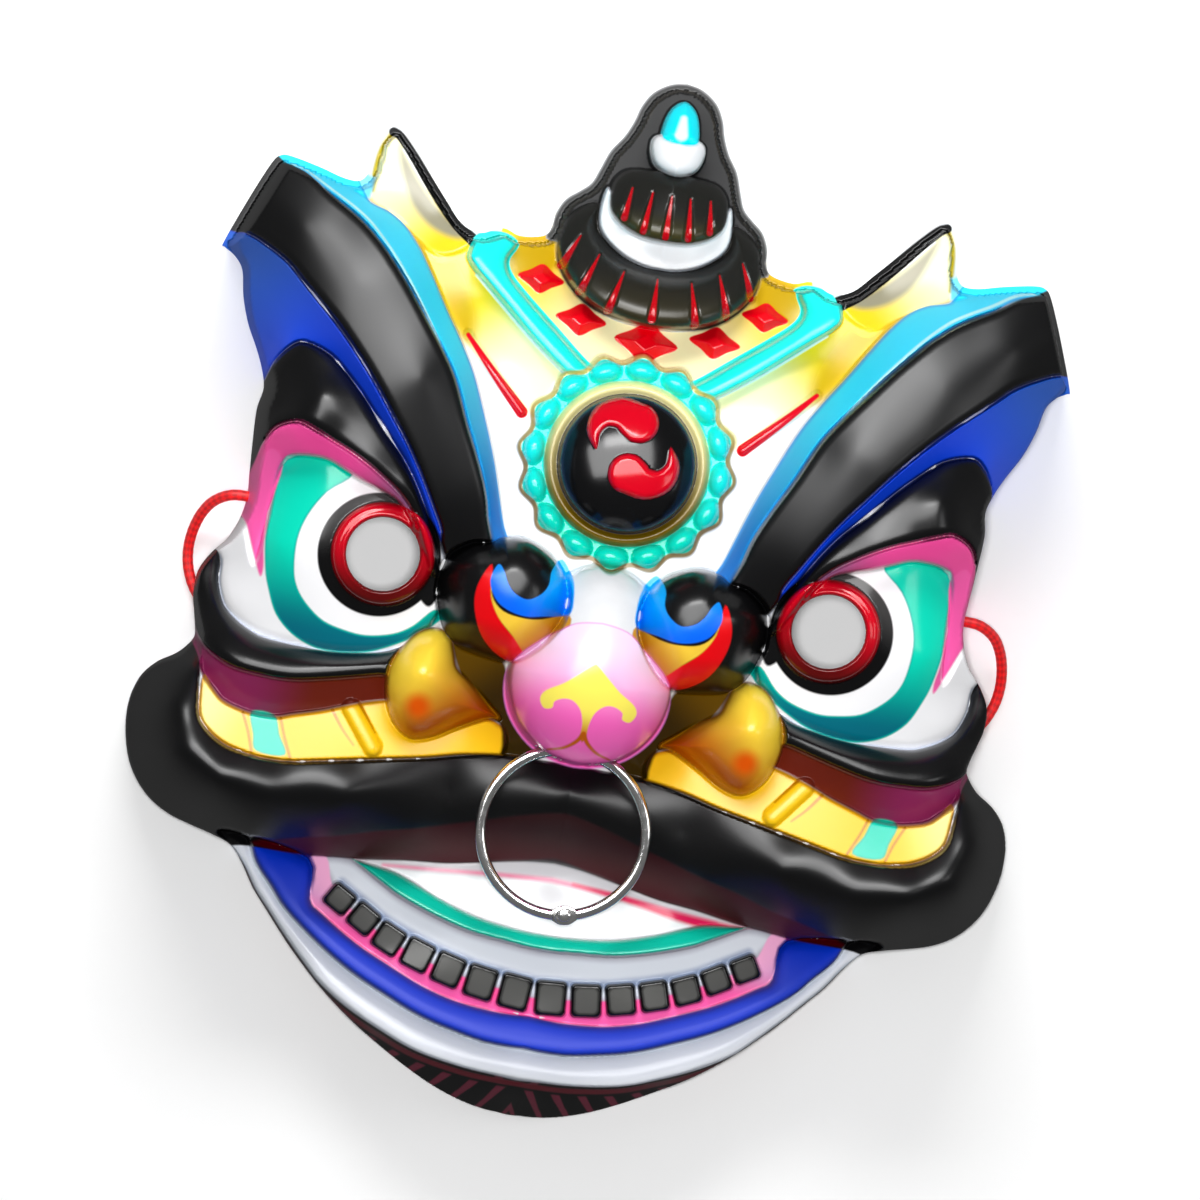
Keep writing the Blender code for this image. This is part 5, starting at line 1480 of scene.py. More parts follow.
@dataclass(frozen=True)
class BeardTips:
    """Slanted tufts along the beard: a comb in the share of the chin line's length."""

    tufts: int = 17
    width: float = 0.0026

    def inside(self, x: Array, y: Array) -> Array:
        """Half a tuft's width less the distance to its middle, between two distances from the chin line."""
        line = smooth_line(face_points([(c, r - 2.6) for c, r in CHIN]), False)
        away, near_x, near_y, share = line_distance(np.abs(x), y, line)
        below = np.where((y < near_y) | (np.abs(x) > near_x), away, -away)
        phase = (share * self.tufts + below * 90) % 1 - 0.5
        pitch = 0.128 / self.tufts
        half = self.width / 2 * (1 - np.clip(below / 0.009, 0, 1) * 0.6)
        inside = np.minimum(half - np.abs(phase) * pitch, below - 0.0004)
        return np.where(y < face_point(0, -60)[1], np.minimum(inside, 0.012 - below), -FAR)


def mesh_piece(
    name: str, points: Array, faces: Sequence[Sequence[int]], normals: Array | None = None,
) -> bpy.types.Object:
    """A shaded mesh object at the origin.

    Args:
        name: The piece's name.
        points: Its vertices, one a row.
        faces: Its faces as vertex numbers, three or four each.
        normals: Vertex normals to shade it with, or None for smooth shading from its own faces.

    Returns:
        The new object, linked to the scene.
    """
    mesh = bpy.data.meshes.new(name)
    mesh.from_pydata(points.tolist(), [], faces)
    mesh.update()
    mesh.polygons.foreach_set("use_smooth", np.ones(len(mesh.polygons), bool))
    if normals is not None:
        mesh.normals_split_custom_set_from_vertices(normals.tolist())
    piece = bpy.data.objects.new(name, mesh)
    bpy.context.scene.collection.objects.link(piece)
    LOG.info("%s: %d vertices, %d faces", name, len(mesh.vertices), len(mesh.polygons))
    return piece


def grid_faces(rows: int, columns: int, wrap: bool = True) -> list[tuple[int, int, int, int]]:
    """Quads of a grid of rows by columns of vertices, joined up around each row where it wraps."""
    last = columns if wrap else columns - 1
    row, column = (
        part.ravel()
        for part in np.meshgrid(np.arange(rows - 1), np.arange(last), indexing="ij")
    )
    ahead = (column + 1) % columns
    near, far = row * columns, (row + 1) * columns
    return np.column_stack((near + column, near + ahead, far + ahead, far + column)).tolist()


def set_values(piece: bpy.types.Object, name: str, values: Array) -> None:
    """Store one number per vertex on a piece, for its material to read."""
    attribute = piece.data.attributes.new(name, "FLOAT", "POINT")
    attribute.data.foreach_set("value", np.ascontiguousarray(values, np.float32))


class Painter:
    """Builds one material out of nodes: small helpers around a Principled shader."""

    def __init__(self, name: str) -> None:
        """Start an empty material of that name."""
        self.material = bpy.data.materials.new(name)
        self.material.use_nodes = True
        self.tree = self.material.node_tree
        self.shader = self.tree.nodes["Principled BSDF"]
        self.place = self.tree.nodes.new("ShaderNodeTexCoord").outputs["Object"]
        self.half: bpy.types.NodeSocket | None = None

    def link(self, source: bpy.types.NodeSocket, target: bpy.types.NodeSocket) -> None:
        """Join two sockets."""
        self.tree.links.new(source, target)

    def attribute(self, name: str) -> bpy.types.NodeSocket:
        """The number that the piece's vertices hold under that name."""
        node = self.tree.nodes.new("ShaderNodeAttribute")
        node.attribute_name = name
        return node.outputs["Fac"]

    def share(
        self, value: bpy.types.NodeSocket, start: float, end: float, low: float = 0.0, high: float = 1.0,
    ) -> bpy.types.NodeSocket:
        """The value eased from low at start to high at end."""
        node = self.tree.nodes.new("ShaderNodeMapRange")
        node.interpolation_type = "SMOOTHSTEP"
        self.link(value, node.inputs["Value"])
        for socket, number in zip(("From Min", "From Max", "To Min", "To Max"), (start, end, low, high)):
            node.inputs[socket].default_value = number
        return node.outputs["Result"]

    def along(self, start: Sequence[float], end: Sequence[float]) -> bpy.types.NodeSocket:
        """How far a place lies from one pattern point to another: 0 at start and 1 at end."""
        first, last = (np.array(face_point(*point)[:2]) for point in (start, end))
        step = (last - first) / ((last - first) ** 2).sum()
        node = self.tree.nodes.new("ShaderNodeVectorMath")
        node.operation = "DOT_PRODUCT"
        self.link(self.mirrored(), node.inputs[0])
        node.inputs[1].default_value = (*step, 0)
        offset = float(first @ step)
        return self.share(node.outputs["Value"], offset, offset + 1)

    def mirrored(self) -> bpy.types.NodeSocket:
        """The place with x taken without its sign. It is worked out once in a material."""
        if self.half is None:
            split = self.tree.nodes.new("ShaderNodeSeparateXYZ")
            self.link(self.place, split.inputs[0])
            side = self.tree.nodes.new("ShaderNodeMath")
            side.operation = "ABSOLUTE"
            self.link(split.outputs["X"], side.inputs[0])
            joined = self.tree.nodes.new("ShaderNodeCombineXYZ")
            self.link(side.outputs[0], joined.inputs["X"])
            self.link(split.outputs["Y"], joined.inputs["Y"])
            self.half = joined.outputs[0]
        return self.half

    def noise(self, scale: float, detail: float = 2.0) -> bpy.types.NodeSocket:
        """Cloudy noise over the piece, scale per metre."""
        node = self.tree.nodes.new("ShaderNodeTexNoise")
        node.inputs["Scale"].default_value = scale
        node.inputs["Detail"].default_value = detail
        self.link(self.place, node.inputs["Vector"])
        return node.outputs["Fac"]

    def mix(
        self, share: bpy.types.NodeSocket, first: bpy.types.NodeSocket | Color,
        second: bpy.types.NodeSocket | Color,
    ) -> bpy.types.NodeSocket:
        """First colour at share 0 and second at share 1. Each is a socket or a plain colour."""
        node = self.tree.nodes.new("ShaderNodeMix")
        node.data_type = "RGBA"
        self.link(share, node.inputs[0])
        for value, socket in ((first, node.inputs[6]), (second, node.inputs[7])):
            if isinstance(value, tuple):
                socket.default_value = (*value, 1)
            else:
                self.link(value, socket)
        return node.outputs[2]

    def blend(
        self, share: bpy.types.NodeSocket, first: bpy.types.NodeSocket | float, second: float,
    ) -> bpy.types.NodeSocket:
        """First number at share 0 and second at share 1."""
        node = self.tree.nodes.new("ShaderNodeMix")
        self.link(share, node.inputs[0])
        if isinstance(first, float):
            node.inputs[2].default_value = first
        else:
            self.link(first, node.inputs[2])
        node.inputs[3].default_value = second
        return node.outputs[0]

    def bump(self, height: bpy.types.NodeSocket, strength: float, distance: float) -> None:
        """Roughen the shader's normal by a height."""
        node = self.tree.nodes.new("ShaderNodeBump")
        node.inputs["Strength"].default_value = strength
        node.inputs["Distance"].default_value = distance
        self.link(height, node.inputs["Height"])
        self.link(node.outputs["Normal"], self.shader.inputs["Normal"])

    def set(self, **numbers: float | Color) -> None:
        """Set plain values on the shader's own sockets."""
        for name, value in numbers.items():
            socket = self.shader.inputs[name.replace("_", " ")]
            socket.default_value = (*value, 1) if isinstance(value, tuple) else value


@dataclass
class PaintedPlastic:
    """Sprayed plastic: coats of paint laid over one another on the bare white sheet."""

    bare: Color = (0.80, 0.81, 0.83)
    roughness: float = 0.22

    def material(self, name: str, coats: Sequence[Coat]) -> bpy.types.Material:
        """The material of one piece.

        Args:
            name: The material's name.
            coats: The coats that touch the piece, first one first. The piece holds an attribute for each.

        Returns:
            The material.
        """
        paint = Painter(name)
        mottle = paint.noise(160.0)
        color: bpy.types.NodeSocket | Color = paint.mix(
            paint.share(mottle, 0.3, 0.7), self.bare, tuple(0.96 * c for c in self.bare),
        )
        rough: bpy.types.NodeSocket | float = self.roughness
        for coat in coats:
            finish = coat.finish
            value = paint.attribute(f"coat_{coat.name}")
            laid: bpy.types.NodeSocket | Color = finish.color
            if finish.fade_color is not None:
                laid = paint.mix(paint.along(*finish.fade), laid, finish.fade_color)
            if finish.edge_color is not None:
                laid = paint.mix(paint.share(value, 0.0, finish.edge_width), finish.edge_color, laid)
            cover = paint.share(value, -coat.soft, coat.soft)
            color = paint.mix(cover, color, laid)
            rough = paint.blend(cover, rough, finish.roughness)
        paint.link(color, paint.shader.inputs["Base Color"])
        if isinstance(rough, float):
            paint.set(Roughness=rough)
        else:
            paint.link(rough, paint.shader.inputs["Roughness"])
        paint.bump(paint.noise(900.0, 3.0), 0.10, 0.00006)
        paint.set(Specular_IOR_Level=0.35)
        return paint.material


@dataclass
class FormedSheet:
    """The formed sheet, worked out once on a grid over the face.

    A grid point is (x, y, height(x, y)), where the height is a thin-plate surface with every form laid over
    it in order, brought down at the rim. Points near the outline and the eye holes are moved onto them.
    """

    rises: Sequence[Rise]
    pitch: float
    warp: float = 0.003
    x: Array = field(init=False)
    y: Array = field(init=False)
    z: Array = field(init=False)
    usable: Array = field(init=False)
    on_rim: Array = field(init=False)
    normal: Array = field(init=False)

    def __post_init__(self) -> None:
        """Work out the grid, its height and its normals."""
        self.lay_out()
        self.raise_sheet()
        self.turn_normals()

    def lay_out(self) -> None:
        """Grid points, with those near an edge of the sheet moved onto or towards it."""
        count = int(MASK_WIDTH / 2 / self.pitch) + 3
        rows = int(MASK_HEIGHT / 2 / self.pitch) + 3
        x, y = np.meshgrid(np.arange(count) * self.pitch, np.arange(-rows, rows + 1) * self.pitch)
        half = smooth_line(face_points(OUTLINE), closed=False)
        away, near_x, near_y, _ = line_distance(x, y, half)
        loop = np.vstack([half, [(-0.02, half[-1, 1]), (-0.02, half[0, 1])]])
        inside = np.where(is_inside(x, y, loop), away, -away)
        ex, ey, _ = face_point(61.3, 27.0)
        from_eye = np.hypot(x - ex, y - ey)
        eye = from_eye - EYE_HOLE / 2
        usable = (inside > -0.75 * self.pitch) & (eye > -0.75 * self.pitch)
        towards = self.warp * (np.clip(inside, 0, self.warp) / self.warp) ** 2
        towards = np.where(inside < 0.35 * self.pitch, 0, towards)
        share = np.where(inside < self.warp, towards / np.maximum(away, 1e-9), 1.0)
        near_rim = usable & (inside < self.warp)
        px = np.where(near_rim, near_x + (x - near_x) * share, x)
        py = np.where(near_rim, near_y + (y - near_y) * share, y)
        to_eye = usable & (eye < 0.35 * self.pitch)
        px = np.where(to_eye, ex + (x - ex) * EYE_HOLE / 2 / from_eye, px)
        py = np.where(to_eye, ey + (y - ey) * EYE_HOLE / 2 / from_eye, py)
        px[:, 0] = 0.0
        self.edge = np.where(near_rim, towards, np.maximum(inside, 0))
        self.on_rim = usable & (inside < 0.35 * self.pitch)
        self.x, self.y = self.mirror(px, -1), self.mirror(py)
        self.usable = self.mirror(usable) > 0
        self.half_x, self.half_y = px, py

    def raise_sheet(self) -> None:
        """Height of the sheet: ground, forms in their order, and the rim."""
        knots = face_points(GROUND)
        both = np.vstack([knots, knots[knots[:, 0] > 0] * (-1, 1, 1)])
        height = knot_surface(both, self.half_x, self.half_y)
        in_order = sorted(self.rises, key=lambda rise: rise.level)
        for rise in in_order:
            if rise.both_sides:
                height = rise.raise_on(height, self.half_x, self.half_y)
        height = self.mirror(height)
        for rise in in_order:
            if not rise.both_sides:
                height = rise.raise_on(height, self.x, self.y)
        flange, foot = rim_foot(self.y)
        wall = MASK_DEPTH * round_over((self.mirror(self.edge) - flange) / RIM_SHOULDER)
        self.z = np.minimum(np.maximum(height, foot), foot + wall)
        self.on_rim = self.mirror(self.on_rim) > 0

    @staticmethod
    def mirror(part: Array, sign: float = 1) -> Array:
        """A half's grid with its mirror image before it, times sign."""
        return np.hstack([sign * part[:, :0:-1], part])

    def turn_normals(self) -> None:
        """Vertex normals: cross products of the cells' diagonals, summed around each point."""
        place = np.stack([self.x, self.y, self.z], axis=-1)
        cells = self.cells()
        cross = np.cross(place[1:, 1:] - place[:-1, :-1], place[1:, :-1] - place[:-1, 1:])
        cross[~cells] = 0
        total = np.zeros(place.shape)
        for rows in (slice(None, -1), slice(1, None)):
            for columns in (slice(None, -1), slice(1, None)):
                total[rows, columns] += cross
        length = np.linalg.norm(total, axis=-1, keepdims=True)
        total[length[..., 0] < 1e-15] = (0, 0, 1)
        self.normal = total / np.linalg.norm(total, axis=-1, keepdims=True)

    def cells(self) -> Array:
        """Cells with at least three usable corners."""
        good = self.usable.astype(int)
        return good[:-1, :-1] + good[:-1, 1:] + good[1:, 1:] + good[1:, :-1] >= 3

    def middles(self) -> tuple[Array, Array, Array]:
        """Place of the middle of each cell."""
        parts = (self.x, self.y, self.z)
        return tuple((p[:-1, :-1] + p[:-1, 1:] + p[1:, 1:] + p[1:, :-1]) / 4 for p in parts)

    def faces(self, chosen: Array) -> tuple[list[list[int]], Array]:
        """Faces of the chosen cells, and the numbers of the grid points that they use.

        Args:
            chosen: Which cells to take.

        Returns:
            The faces, in numbers of the used points, and those points' numbers in the grid.
        """
        rows, columns = self.x.shape
        row, column = np.nonzero(chosen & self.cells())
        corners = np.column_stack([
            row * columns + column, row * columns + column + 1,
            (row + 1) * columns + column + 1, (row + 1) * columns + column,
        ])
        good = self.usable.ravel()[corners]
        used = np.unique(corners[good])
        renumber = np.zeros(rows * columns, int)
        renumber[used] = np.arange(len(used))
        whole = good.all(axis=1)
        quads = renumber[corners[whole]].tolist()
        triangles = renumber[corners[~whole][good[~whole]].reshape(-1, 3)].tolist()
        return quads + triangles, used


def rim_foot(y: Array) -> tuple[Array, Array]:
    """Width of the flange and height of the sheet's outer edge, along the rim.

    Args:
        y: Places along the face.

    Returns:
        The flange's width, and the foot's height: a sheet's thickness on the flange, and an arch
        TEMPLE_ARCH * sin(pi * share) ** 1.5 at the temples.
    """
    (_, flange_start, _), (_, flange_end, _) = (face_point(0, row) for row in FLANGE_ROWS)
    (_, arch_start, _), (_, arch_end, _) = (face_point(0, row) for row in TEMPLE_ROWS)
    flange = FLANGE * ease(y, flange_start, flange_end)
    share = np.clip((y - arch_start) / (arch_end - arch_start), 0, 1)
    arch = TEMPLE_ARCH * np.sin(math.pi * share) ** 1.5
    return flange, np.where(flange > 0, np.minimum(SHEET, flange), arch)


@dataclass
class Mask:
    """The formed and painted sheet, cut into the pieces of its sub-assemblies, with its bare back."""

    parts: dict[str, object]
    finish: PaintedPlastic = field(default_factory=PaintedPlastic)

    def build(self, ring: NoseRing) -> None:
        """Build every piece of the sheet.

        Args:
            ring: The ring whose holes the sheet has.
        """
        rises = [rise for part in self.parts.values() for rise in part.rises()]
        sheet = FormedSheet(rises, FINE_PITCH)
        coats = [coat for part in self.parts.values() for coat in part.coats()]
        values = {coat.name: coat.shape.inside(sheet.x, sheet.y).ravel() for coat in coats}
        mx, my, mz = sheet.middles()
        left = ring.clearance(mx, my, mz) > 0
        for name, part in reversed(self.parts.items()):
            chosen = left & (part.zone().inside(mx, my) > 0 if name != "crown" else np.ones(mx.shape, bool))
            left &= ~chosen
            self.cut_out(name, sheet, chosen, coats, values)
        self.build_back(rises, ring)
        for side in Side:
            self.build_eye_wall(sheet, side)

    def cut_out(
        self, name: str, sheet: FormedSheet, chosen: Array, coats: Sequence[Coat], values: dict[str, Array],
    ) -> None:
        """Make one piece of the painted face from the chosen cells."""
        faces, used = sheet.faces(chosen)
        points = np.column_stack([part.ravel()[used] for part in (sheet.x, sheet.y, sheet.z)])
        piece = mesh_piece(f"painted_{name}", points, faces, sheet.normal.reshape(-1, 3)[used])
        here = [coat for coat in coats if values[coat.name][used].max() > -coat.soft]
        for coat in here:
            set_values(piece, f"coat_{coat.name}", values[coat.name][used])
        piece.data.materials.append(self.finish.material(f"paint_{name}", here))
        dress(piece, "mask", "painted_plastic", "mask_shell")

    def build_back(self, rises: Sequence[Rise], ring: NoseRing) -> None:
        """The bare inner side, the face moved in by the sheet's thickness, and the rim's cut edge."""
        sheet = FormedSheet(rises, FINE_PITCH * BACK_PITCH)
        mx, my, mz = sheet.middles()
        faces, used = sheet.faces(ring.clearance(mx, my, mz) > 0)
        place = np.column_stack([part.ravel()[used] for part in (sheet.x, sheet.y, sheet.z)])
        lowest = sheet.z.copy()
        for rows, columns in ((1, 0), (-1, 0), (0, 1), (0, -1), (1, 1), (-1, -1), (1, -1), (-1, 1)):
            lowest = np.minimum(lowest, np.roll(sheet.z, (rows, columns), axis=(0, 1)))
        inner = place.copy()
        inner[:, 2] = np.maximum(lowest.ravel()[used] - SHEET, 0.00002)
        normal = sheet.normal.reshape(-1, 3)[used]
        rim = sheet.on_rim.ravel()[used]
        flat = normal[rim] * (1, 1, 0)
        flat /= np.maximum(np.linalg.norm(flat, axis=1, keepdims=True), 1e-9)
        flange, foot = rim_foot(place[rim, 1])
        inner[rim, :2] -= np.where((flange > 0)[:, None], 0, SHEET) * flat[:, :2]
        inner[rim, 2] = np.where(flange > 0, 0.00002, foot)
        faces = [face[::-1] for face in faces]
        piece = mesh_piece("bare_back", inner, faces)
        piece.data.materials.append(self.finish.material("bare_plastic", []))
        dress(piece, "mask", "painted_plastic", "mask_shell")
        self.build_rim()

    def build_rim(self) -> None:
        """The cut edge along the rim: a strip from the outline to one sheet's thickness inside it."""
        half = smooth_line(face_points(OUTLINE), closed=False, per_span=8)
        loop = np.vstack([half, half[-2:0:-1] * (-1, 1)])
        along = np.roll(loop, -1, axis=0) - np.roll(loop, 1, axis=0)
        inward = np.column_stack([along[:, 1], -along[:, 0]]) / np.linalg.norm(along, axis=1, keepdims=True)
        flange, foot = rim_foot(loop[:, 1])
        on_flange = (flange > 0)[:, None]
        outer = np.column_stack([loop, foot])
        inner_loop = loop + np.where(on_flange, 0, SHEET) * inward
        inner = np.column_stack([inner_loop, np.where(flange > 0, 0.0, foot)])
        points = np.vstack([outer, inner])
        piece = mesh_piece("rim_edge", points, grid_faces(2, len(loop)))
        piece.data.materials.append(bpy.data.materials["bare_plastic"])
        dress(piece, "mask", "painted_plastic", "mask_shell")

    def build_eye_wall(self, sheet: FormedSheet, side: Side) -> None:
        """The cut edge of an eye hole: a strip from the face's points on the hole down to the bare back."""
        ex, ey, _ = face_point(61.3, 27.0)
        dx, dy = sheet.x - side.value * ex, sheet.y - ey
        rim = sheet.usable & (np.abs(np.hypot(dx, dy) - EYE_HOLE / 2) < 1e-6)
        order = np.argsort(np.arctan2(dy[rim], dx[rim]))
        top = np.column_stack([part[rim] for part in (sheet.x, sheet.y, sheet.z)])[order]
        points = np.vstack([top, top - (0, 0, 1.6 * SHEET)])
        piece = mesh_piece(f"eye_wall_{side.name.lower()}", points, grid_faces(2, len(top)))
        piece.data.materials.append(bpy.data.materials["bare_plastic"])
        dress(piece, "mask", "painted_plastic", "mask_shell")


class Side(Enum):
    """Left or right half of the mask, as the sign of x."""

    LEFT = -1
    RIGHT = 1


def dress(piece: bpy.types.Object, body: str, finish: str, *nodes: str) -> None:
    """Let a piece ride on its body and stand for its CAD nodes, which are hidden."""
    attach(piece, body)
    if nodes:
        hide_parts(*nodes)


@dataclass
class NoseRing:
    """The hinged loose-leaf ring: two halves of plated wire that overlap in thin lugs at the rivet."""

    outside: float = 0.0480
    wire: float = 0.0030
    play: float = 0.0014
    entry: float = 0.0040
    bed: float = 54.0
    rivet_turn: float = 10.5
    lug: float = 0.0052
    rivet: float = 0.0018
    rivet_head: float = 0.0034
    gap: float = 0.0003
    nose_row: float = 2.0
    nose_radius: float = 22.5

    @property
    def radius(self) -> float:
        """Radius of the wire's centre line."""
        return (self.outside - self.wire) / 2

    @property
    def middle(self) -> tuple[float, float]:
        """y and z of the ring's middle."""
        _, nose_y, _ = face_point(0, self.nose_row)
        below = self.nose_radius * COLUMN_SIZE + self.radius - self.entry
        return nose_y - below, self.bed * STEP_SIZE + self.wire / 2

    def clearance(self, x: Array, y: Array, z: Array) -> Array:
        """How far each place is clear of the wire's holes: distance to its circle less its play."""
        cy, cz = self.middle
        return np.hypot(np.hypot(x, y - cy) - self.radius, z - cz) - self.wire / 2 - self.play

    def build(self) -> None:
        """Build both halves and the rivet."""
        for side in Side:
            self.build_half(side)
        self.build_rivet()

    def build_half(self, side: Side) -> None:
        """A round section carried along the half circle, flattened into a rounded lug at the rivet.

        The section at a distance s past the rivet is (across * cos t, high * sin t) about the circle's line:
        across runs from 0 at the lug's end as sqrt(1 - (s / half lug) squared) to the wire's radius,
        and high from half the lug's thickness to the wire's radius.
        """
        cy, cz = self.middle
        rivet, half_lug, half_wire = math.radians(self.rivet_turn), self.lug / 2, self.wire / 2
        sign = side.value
        thick = (self.wire - self.gap) / 4
        end = (math.pi - self.gap / 2 / self.radius - sign * rivet) * self.radius
        near = -half_lug * np.cos(np.linspace(0, math.pi / 2, 14))
        tip = end - 0.0006 * np.cos(np.linspace(0.1, math.pi / 2, 6))
        stretches = [near, np.linspace(0.0002, 0.006, 40), np.linspace(0.0065, end - 0.0006, 150), tip]
        s = np.concatenate(stretches)
        across = np.where(s < 0, half_lug * np.sqrt(np.clip(1 - (s / half_lug) ** 2, 0, 1)), half_lug)
        across = across + ease(s, 0.0008, 0.0036) * (half_wire - across)
        high = thick + ease(s, half_lug + self.gap, half_lug + self.gap + 0.0006) * (half_wire - thick)
        lug = 1 - ease(s, half_lug + self.gap, half_lug + self.gap + 0.0006)
        offset = sign * (thick + self.gap / 2) * lug
        round_end = np.sqrt(np.clip(1 - ((s - end + 0.0006) / 0.0006) ** 2, 0, 1)) * 0.3 + 0.7
        cap = np.where(s > end - 0.0006, round_end, 1)
        around = np.linspace(0, 2 * math.pi, 28, endpoint=False)
        square = 2 + 4 * (1 - ease(high, thick, half_wire))[:, None]
        cos, sin = np.cos(around)[None, :], np.sin(around)[None, :]
        reach = (np.abs(cos) ** square + np.abs(sin) ** square) ** (-1 / square)
        out = (across * cap)[:, None] * cos * reach
        up = (high * cap)[:, None] * sin * reach + offset[:, None]
        turn = (rivet + sign * s / self.radius)[:, None]
        radius = self.radius + out
        points = np.stack([radius * np.sin(turn), cy - radius * np.cos(turn), cz + up], axis=-1)
        rows, columns = points.shape[:2]
        ends = points[[0, -1]].mean(axis=1)
        points = np.vstack([points.reshape(-1, 3), ends])
        faces = grid_faces(rows, columns)
        first, last = rows * columns, rows * columns + 1
        faces += [(first, (i + 1) % columns, i) for i in range(columns)]
        faces += [
            (last, (rows - 1) * columns + i, (rows - 1) * columns + (i + 1) % columns)
            for i in range(columns)
        ]
        if sign > 0:
            faces = [face[::-1] for face in faces]
        name = f"ring_{side.name.lower()}"
        piece = mesh_piece(f"wire_{name}", points, faces)
        piece.data.materials.append(steel())
        dress(piece, name, "ring_steel", f"nose_{name}")

    def build_rivet(self) -> None:
        """The rivet: a profile turned about its axis, with a domed head and a flush foot."""
        cy, cz = self.middle
        turn = math.radians(self.rivet_turn)
        thick = (self.wire - self.gap) / 2
        top = thick + self.gap * 1.5
        dome = np.linspace(0, math.pi / 2, 8)
        head = self.rivet_head / 2
        profile = [
            (0.0, -self.gap), (self.rivet / 2, -self.gap), (self.rivet / 2, top - 0.0001), (head, top),
        ]
        profile += [(head * math.cos(a), top + 0.00015 + 0.0006 * math.sin(a)) for a in dome]
        radius, level = np.array(profile).T
        around = np.linspace(0, 2 * math.pi, 32, endpoint=False)
        x = self.radius * math.sin(turn) + radius[:, None] * np.cos(around)
        y = cy - self.radius * math.cos(turn) + radius[:, None] * np.sin(around)
        points = np.stack([x, y, cz + level[:, None] + 0 * x], axis=-1).reshape(-1, 3)
        piece = mesh_piece("ring_rivet", points, grid_faces(len(profile), 32))
        piece.data.materials.append(steel())
        dress(piece, "ring_left", "ring_steel")


@dataclass
class HeadElastic:
    """The round elastic head cord with its knots behind the temples."""

    diameter: float = 0.0030
    knot: float = 0.0076
    gap: float = 0.0003
    hole: tuple[float, float, float] = (99.4, 36.0, 16.0)
    strands: int = 8
    lay_angle: float = 0.0042

    def path(self) -> Array:
        """The cord's centre line: the route at the left, and its mirror image at the right."""
        left = np.array(CORD_ROUTE)
        return smooth_line(np.vstack([left, left[-2::-1] * (-1, 1, 1)]), False, 30)

    def build(self) -> None:
        knots = [self.build_knot(side) for side in Side]
        path = self.path()
        cord = self.build_cord(path)

    def build_cord(self, path: Array) -> bpy.types.Object:
        """A braided tube along the path.

        Its radius is the cord's less a groove where two families of strands cross:
        radius * (1 - 0.035 * |sin(strands * t + k s) * sin(strands * t - k s)|), t around and s along.
        """
        tangent = np.gradient(path, axis=0)
        tangent /= np.linalg.norm(tangent, axis=1, keepdims=True)
        side = np.cross(tangent, (0, 0, 1))
        side /= np.linalg.norm(side, axis=1, keepdims=True)
        up = np.cross(side, tangent)
        along = np.concatenate([[0], np.cumsum(np.linalg.norm(np.diff(path, axis=0), axis=1))])
        samples = np.arange(0, along[-1], 0.00055)
        path, side, up = (
            np.column_stack([np.interp(samples, along, part[:, i]) for i in range(3)])
            for part in (path, side, up)
        )
        around = np.linspace(0, 2 * math.pi, 32, endpoint=False)
        phase = samples[:, None] * 2 * math.pi / self.lay_angle
        braid = np.sin(self.strands / 2 * around + phase) * np.sin(self.strands / 2 * around - phase)
        radius = self.diameter / 2 * (0.985 + 0.030 * braid)
        out = np.cos(around)[None, :, None] * side[:, None] + np.sin(around)[None, :, None] * up[:, None]
        points = path[:, None] + radius[..., None] * out
        rows, columns = points.shape[:2]
        ends = path[[0, -1]]
        faces = [face[::-1] for face in grid_faces(rows, columns)]
        faces += [(rows * columns, i, (i + 1) % columns) for i in range(columns)]
        faces += [
            (rows * columns + 1, (rows - 1) * columns + (i + 1) % columns, (rows - 1) * columns + i)
            for i in range(columns)
        ]
        piece = mesh_piece("elastic_cord", np.vstack([points.reshape(-1, 3), ends]), faces)
        set_values(piece, "braid", np.concatenate([braid.ravel(), [0, 0]]))
        piece.data.materials.append(elastic())
        dress(piece, "mask", "red_elastic", "head_elastic")
        return piece

    def build_knot(self, side: Side) -> bpy.types.Object:
        """An overhand knot drawn tight: a squat ball with two cord-wide turns, flat towards the wall."""
        hx, hy, hz = face_point(*self.hole)
        outer = abs(CORD_ROUTE[0][0]) - self.gap
        u = np.linspace(0, math.pi, 30)[:, None]
        t = np.linspace(0, 2 * math.pi, 48, endpoint=False)[None, :]
        turns = 0.90 + 0.08 * np.cos(3 * u + 2 * t) - 0.04 * np.abs(np.sin(1.5 * u - t))
        radius = self.knot / 2 * turns
        across = radius * np.cos(u) * 0.72
        flat = self.knot / 2 * 0.72 * 0.75
        across = np.minimum(across, flat)
        points = np.stack(
            [
                side.value * (across - flat + outer) + 0 * t, hy + radius * np.sin(u) * np.cos(t),
                hz + radius * np.sin(u) * np.sin(t),
            ], axis=-1,
        ).reshape(-1, 3)
        faces = grid_faces(30, 48)
        if side is Side.LEFT:
            faces = [face[::-1] for face in faces]
        piece = mesh_piece(f"knot_{side.name.lower()}", points, faces)
        set_values(piece, "braid", np.zeros(len(points)))
        piece.data.materials.append(elastic())
        dress(piece, "mask", "red_elastic", f"elastic_knot_{side.name.lower()}")
        return piece


def steel() -> bpy.types.Material:
    """Polished plating with the faintest uneven gloss. It is made once."""
    if "plated_steel" in bpy.data.materials:
        return bpy.data.materials["plated_steel"]
    paint = Painter("plated_steel")
    paint.link(paint.share(paint.noise(700.0), 0.3, 0.7, 0.13, 0.22), paint.shader.inputs["Roughness"])
    paint.link(
        paint.mix(paint.noise(250.0), (0.90, 0.89, 0.87), (0.98, 0.98, 0.98)),
        paint.shader.inputs["Base Color"],
    )
    paint.set(Metallic=1.0)
    return paint.material


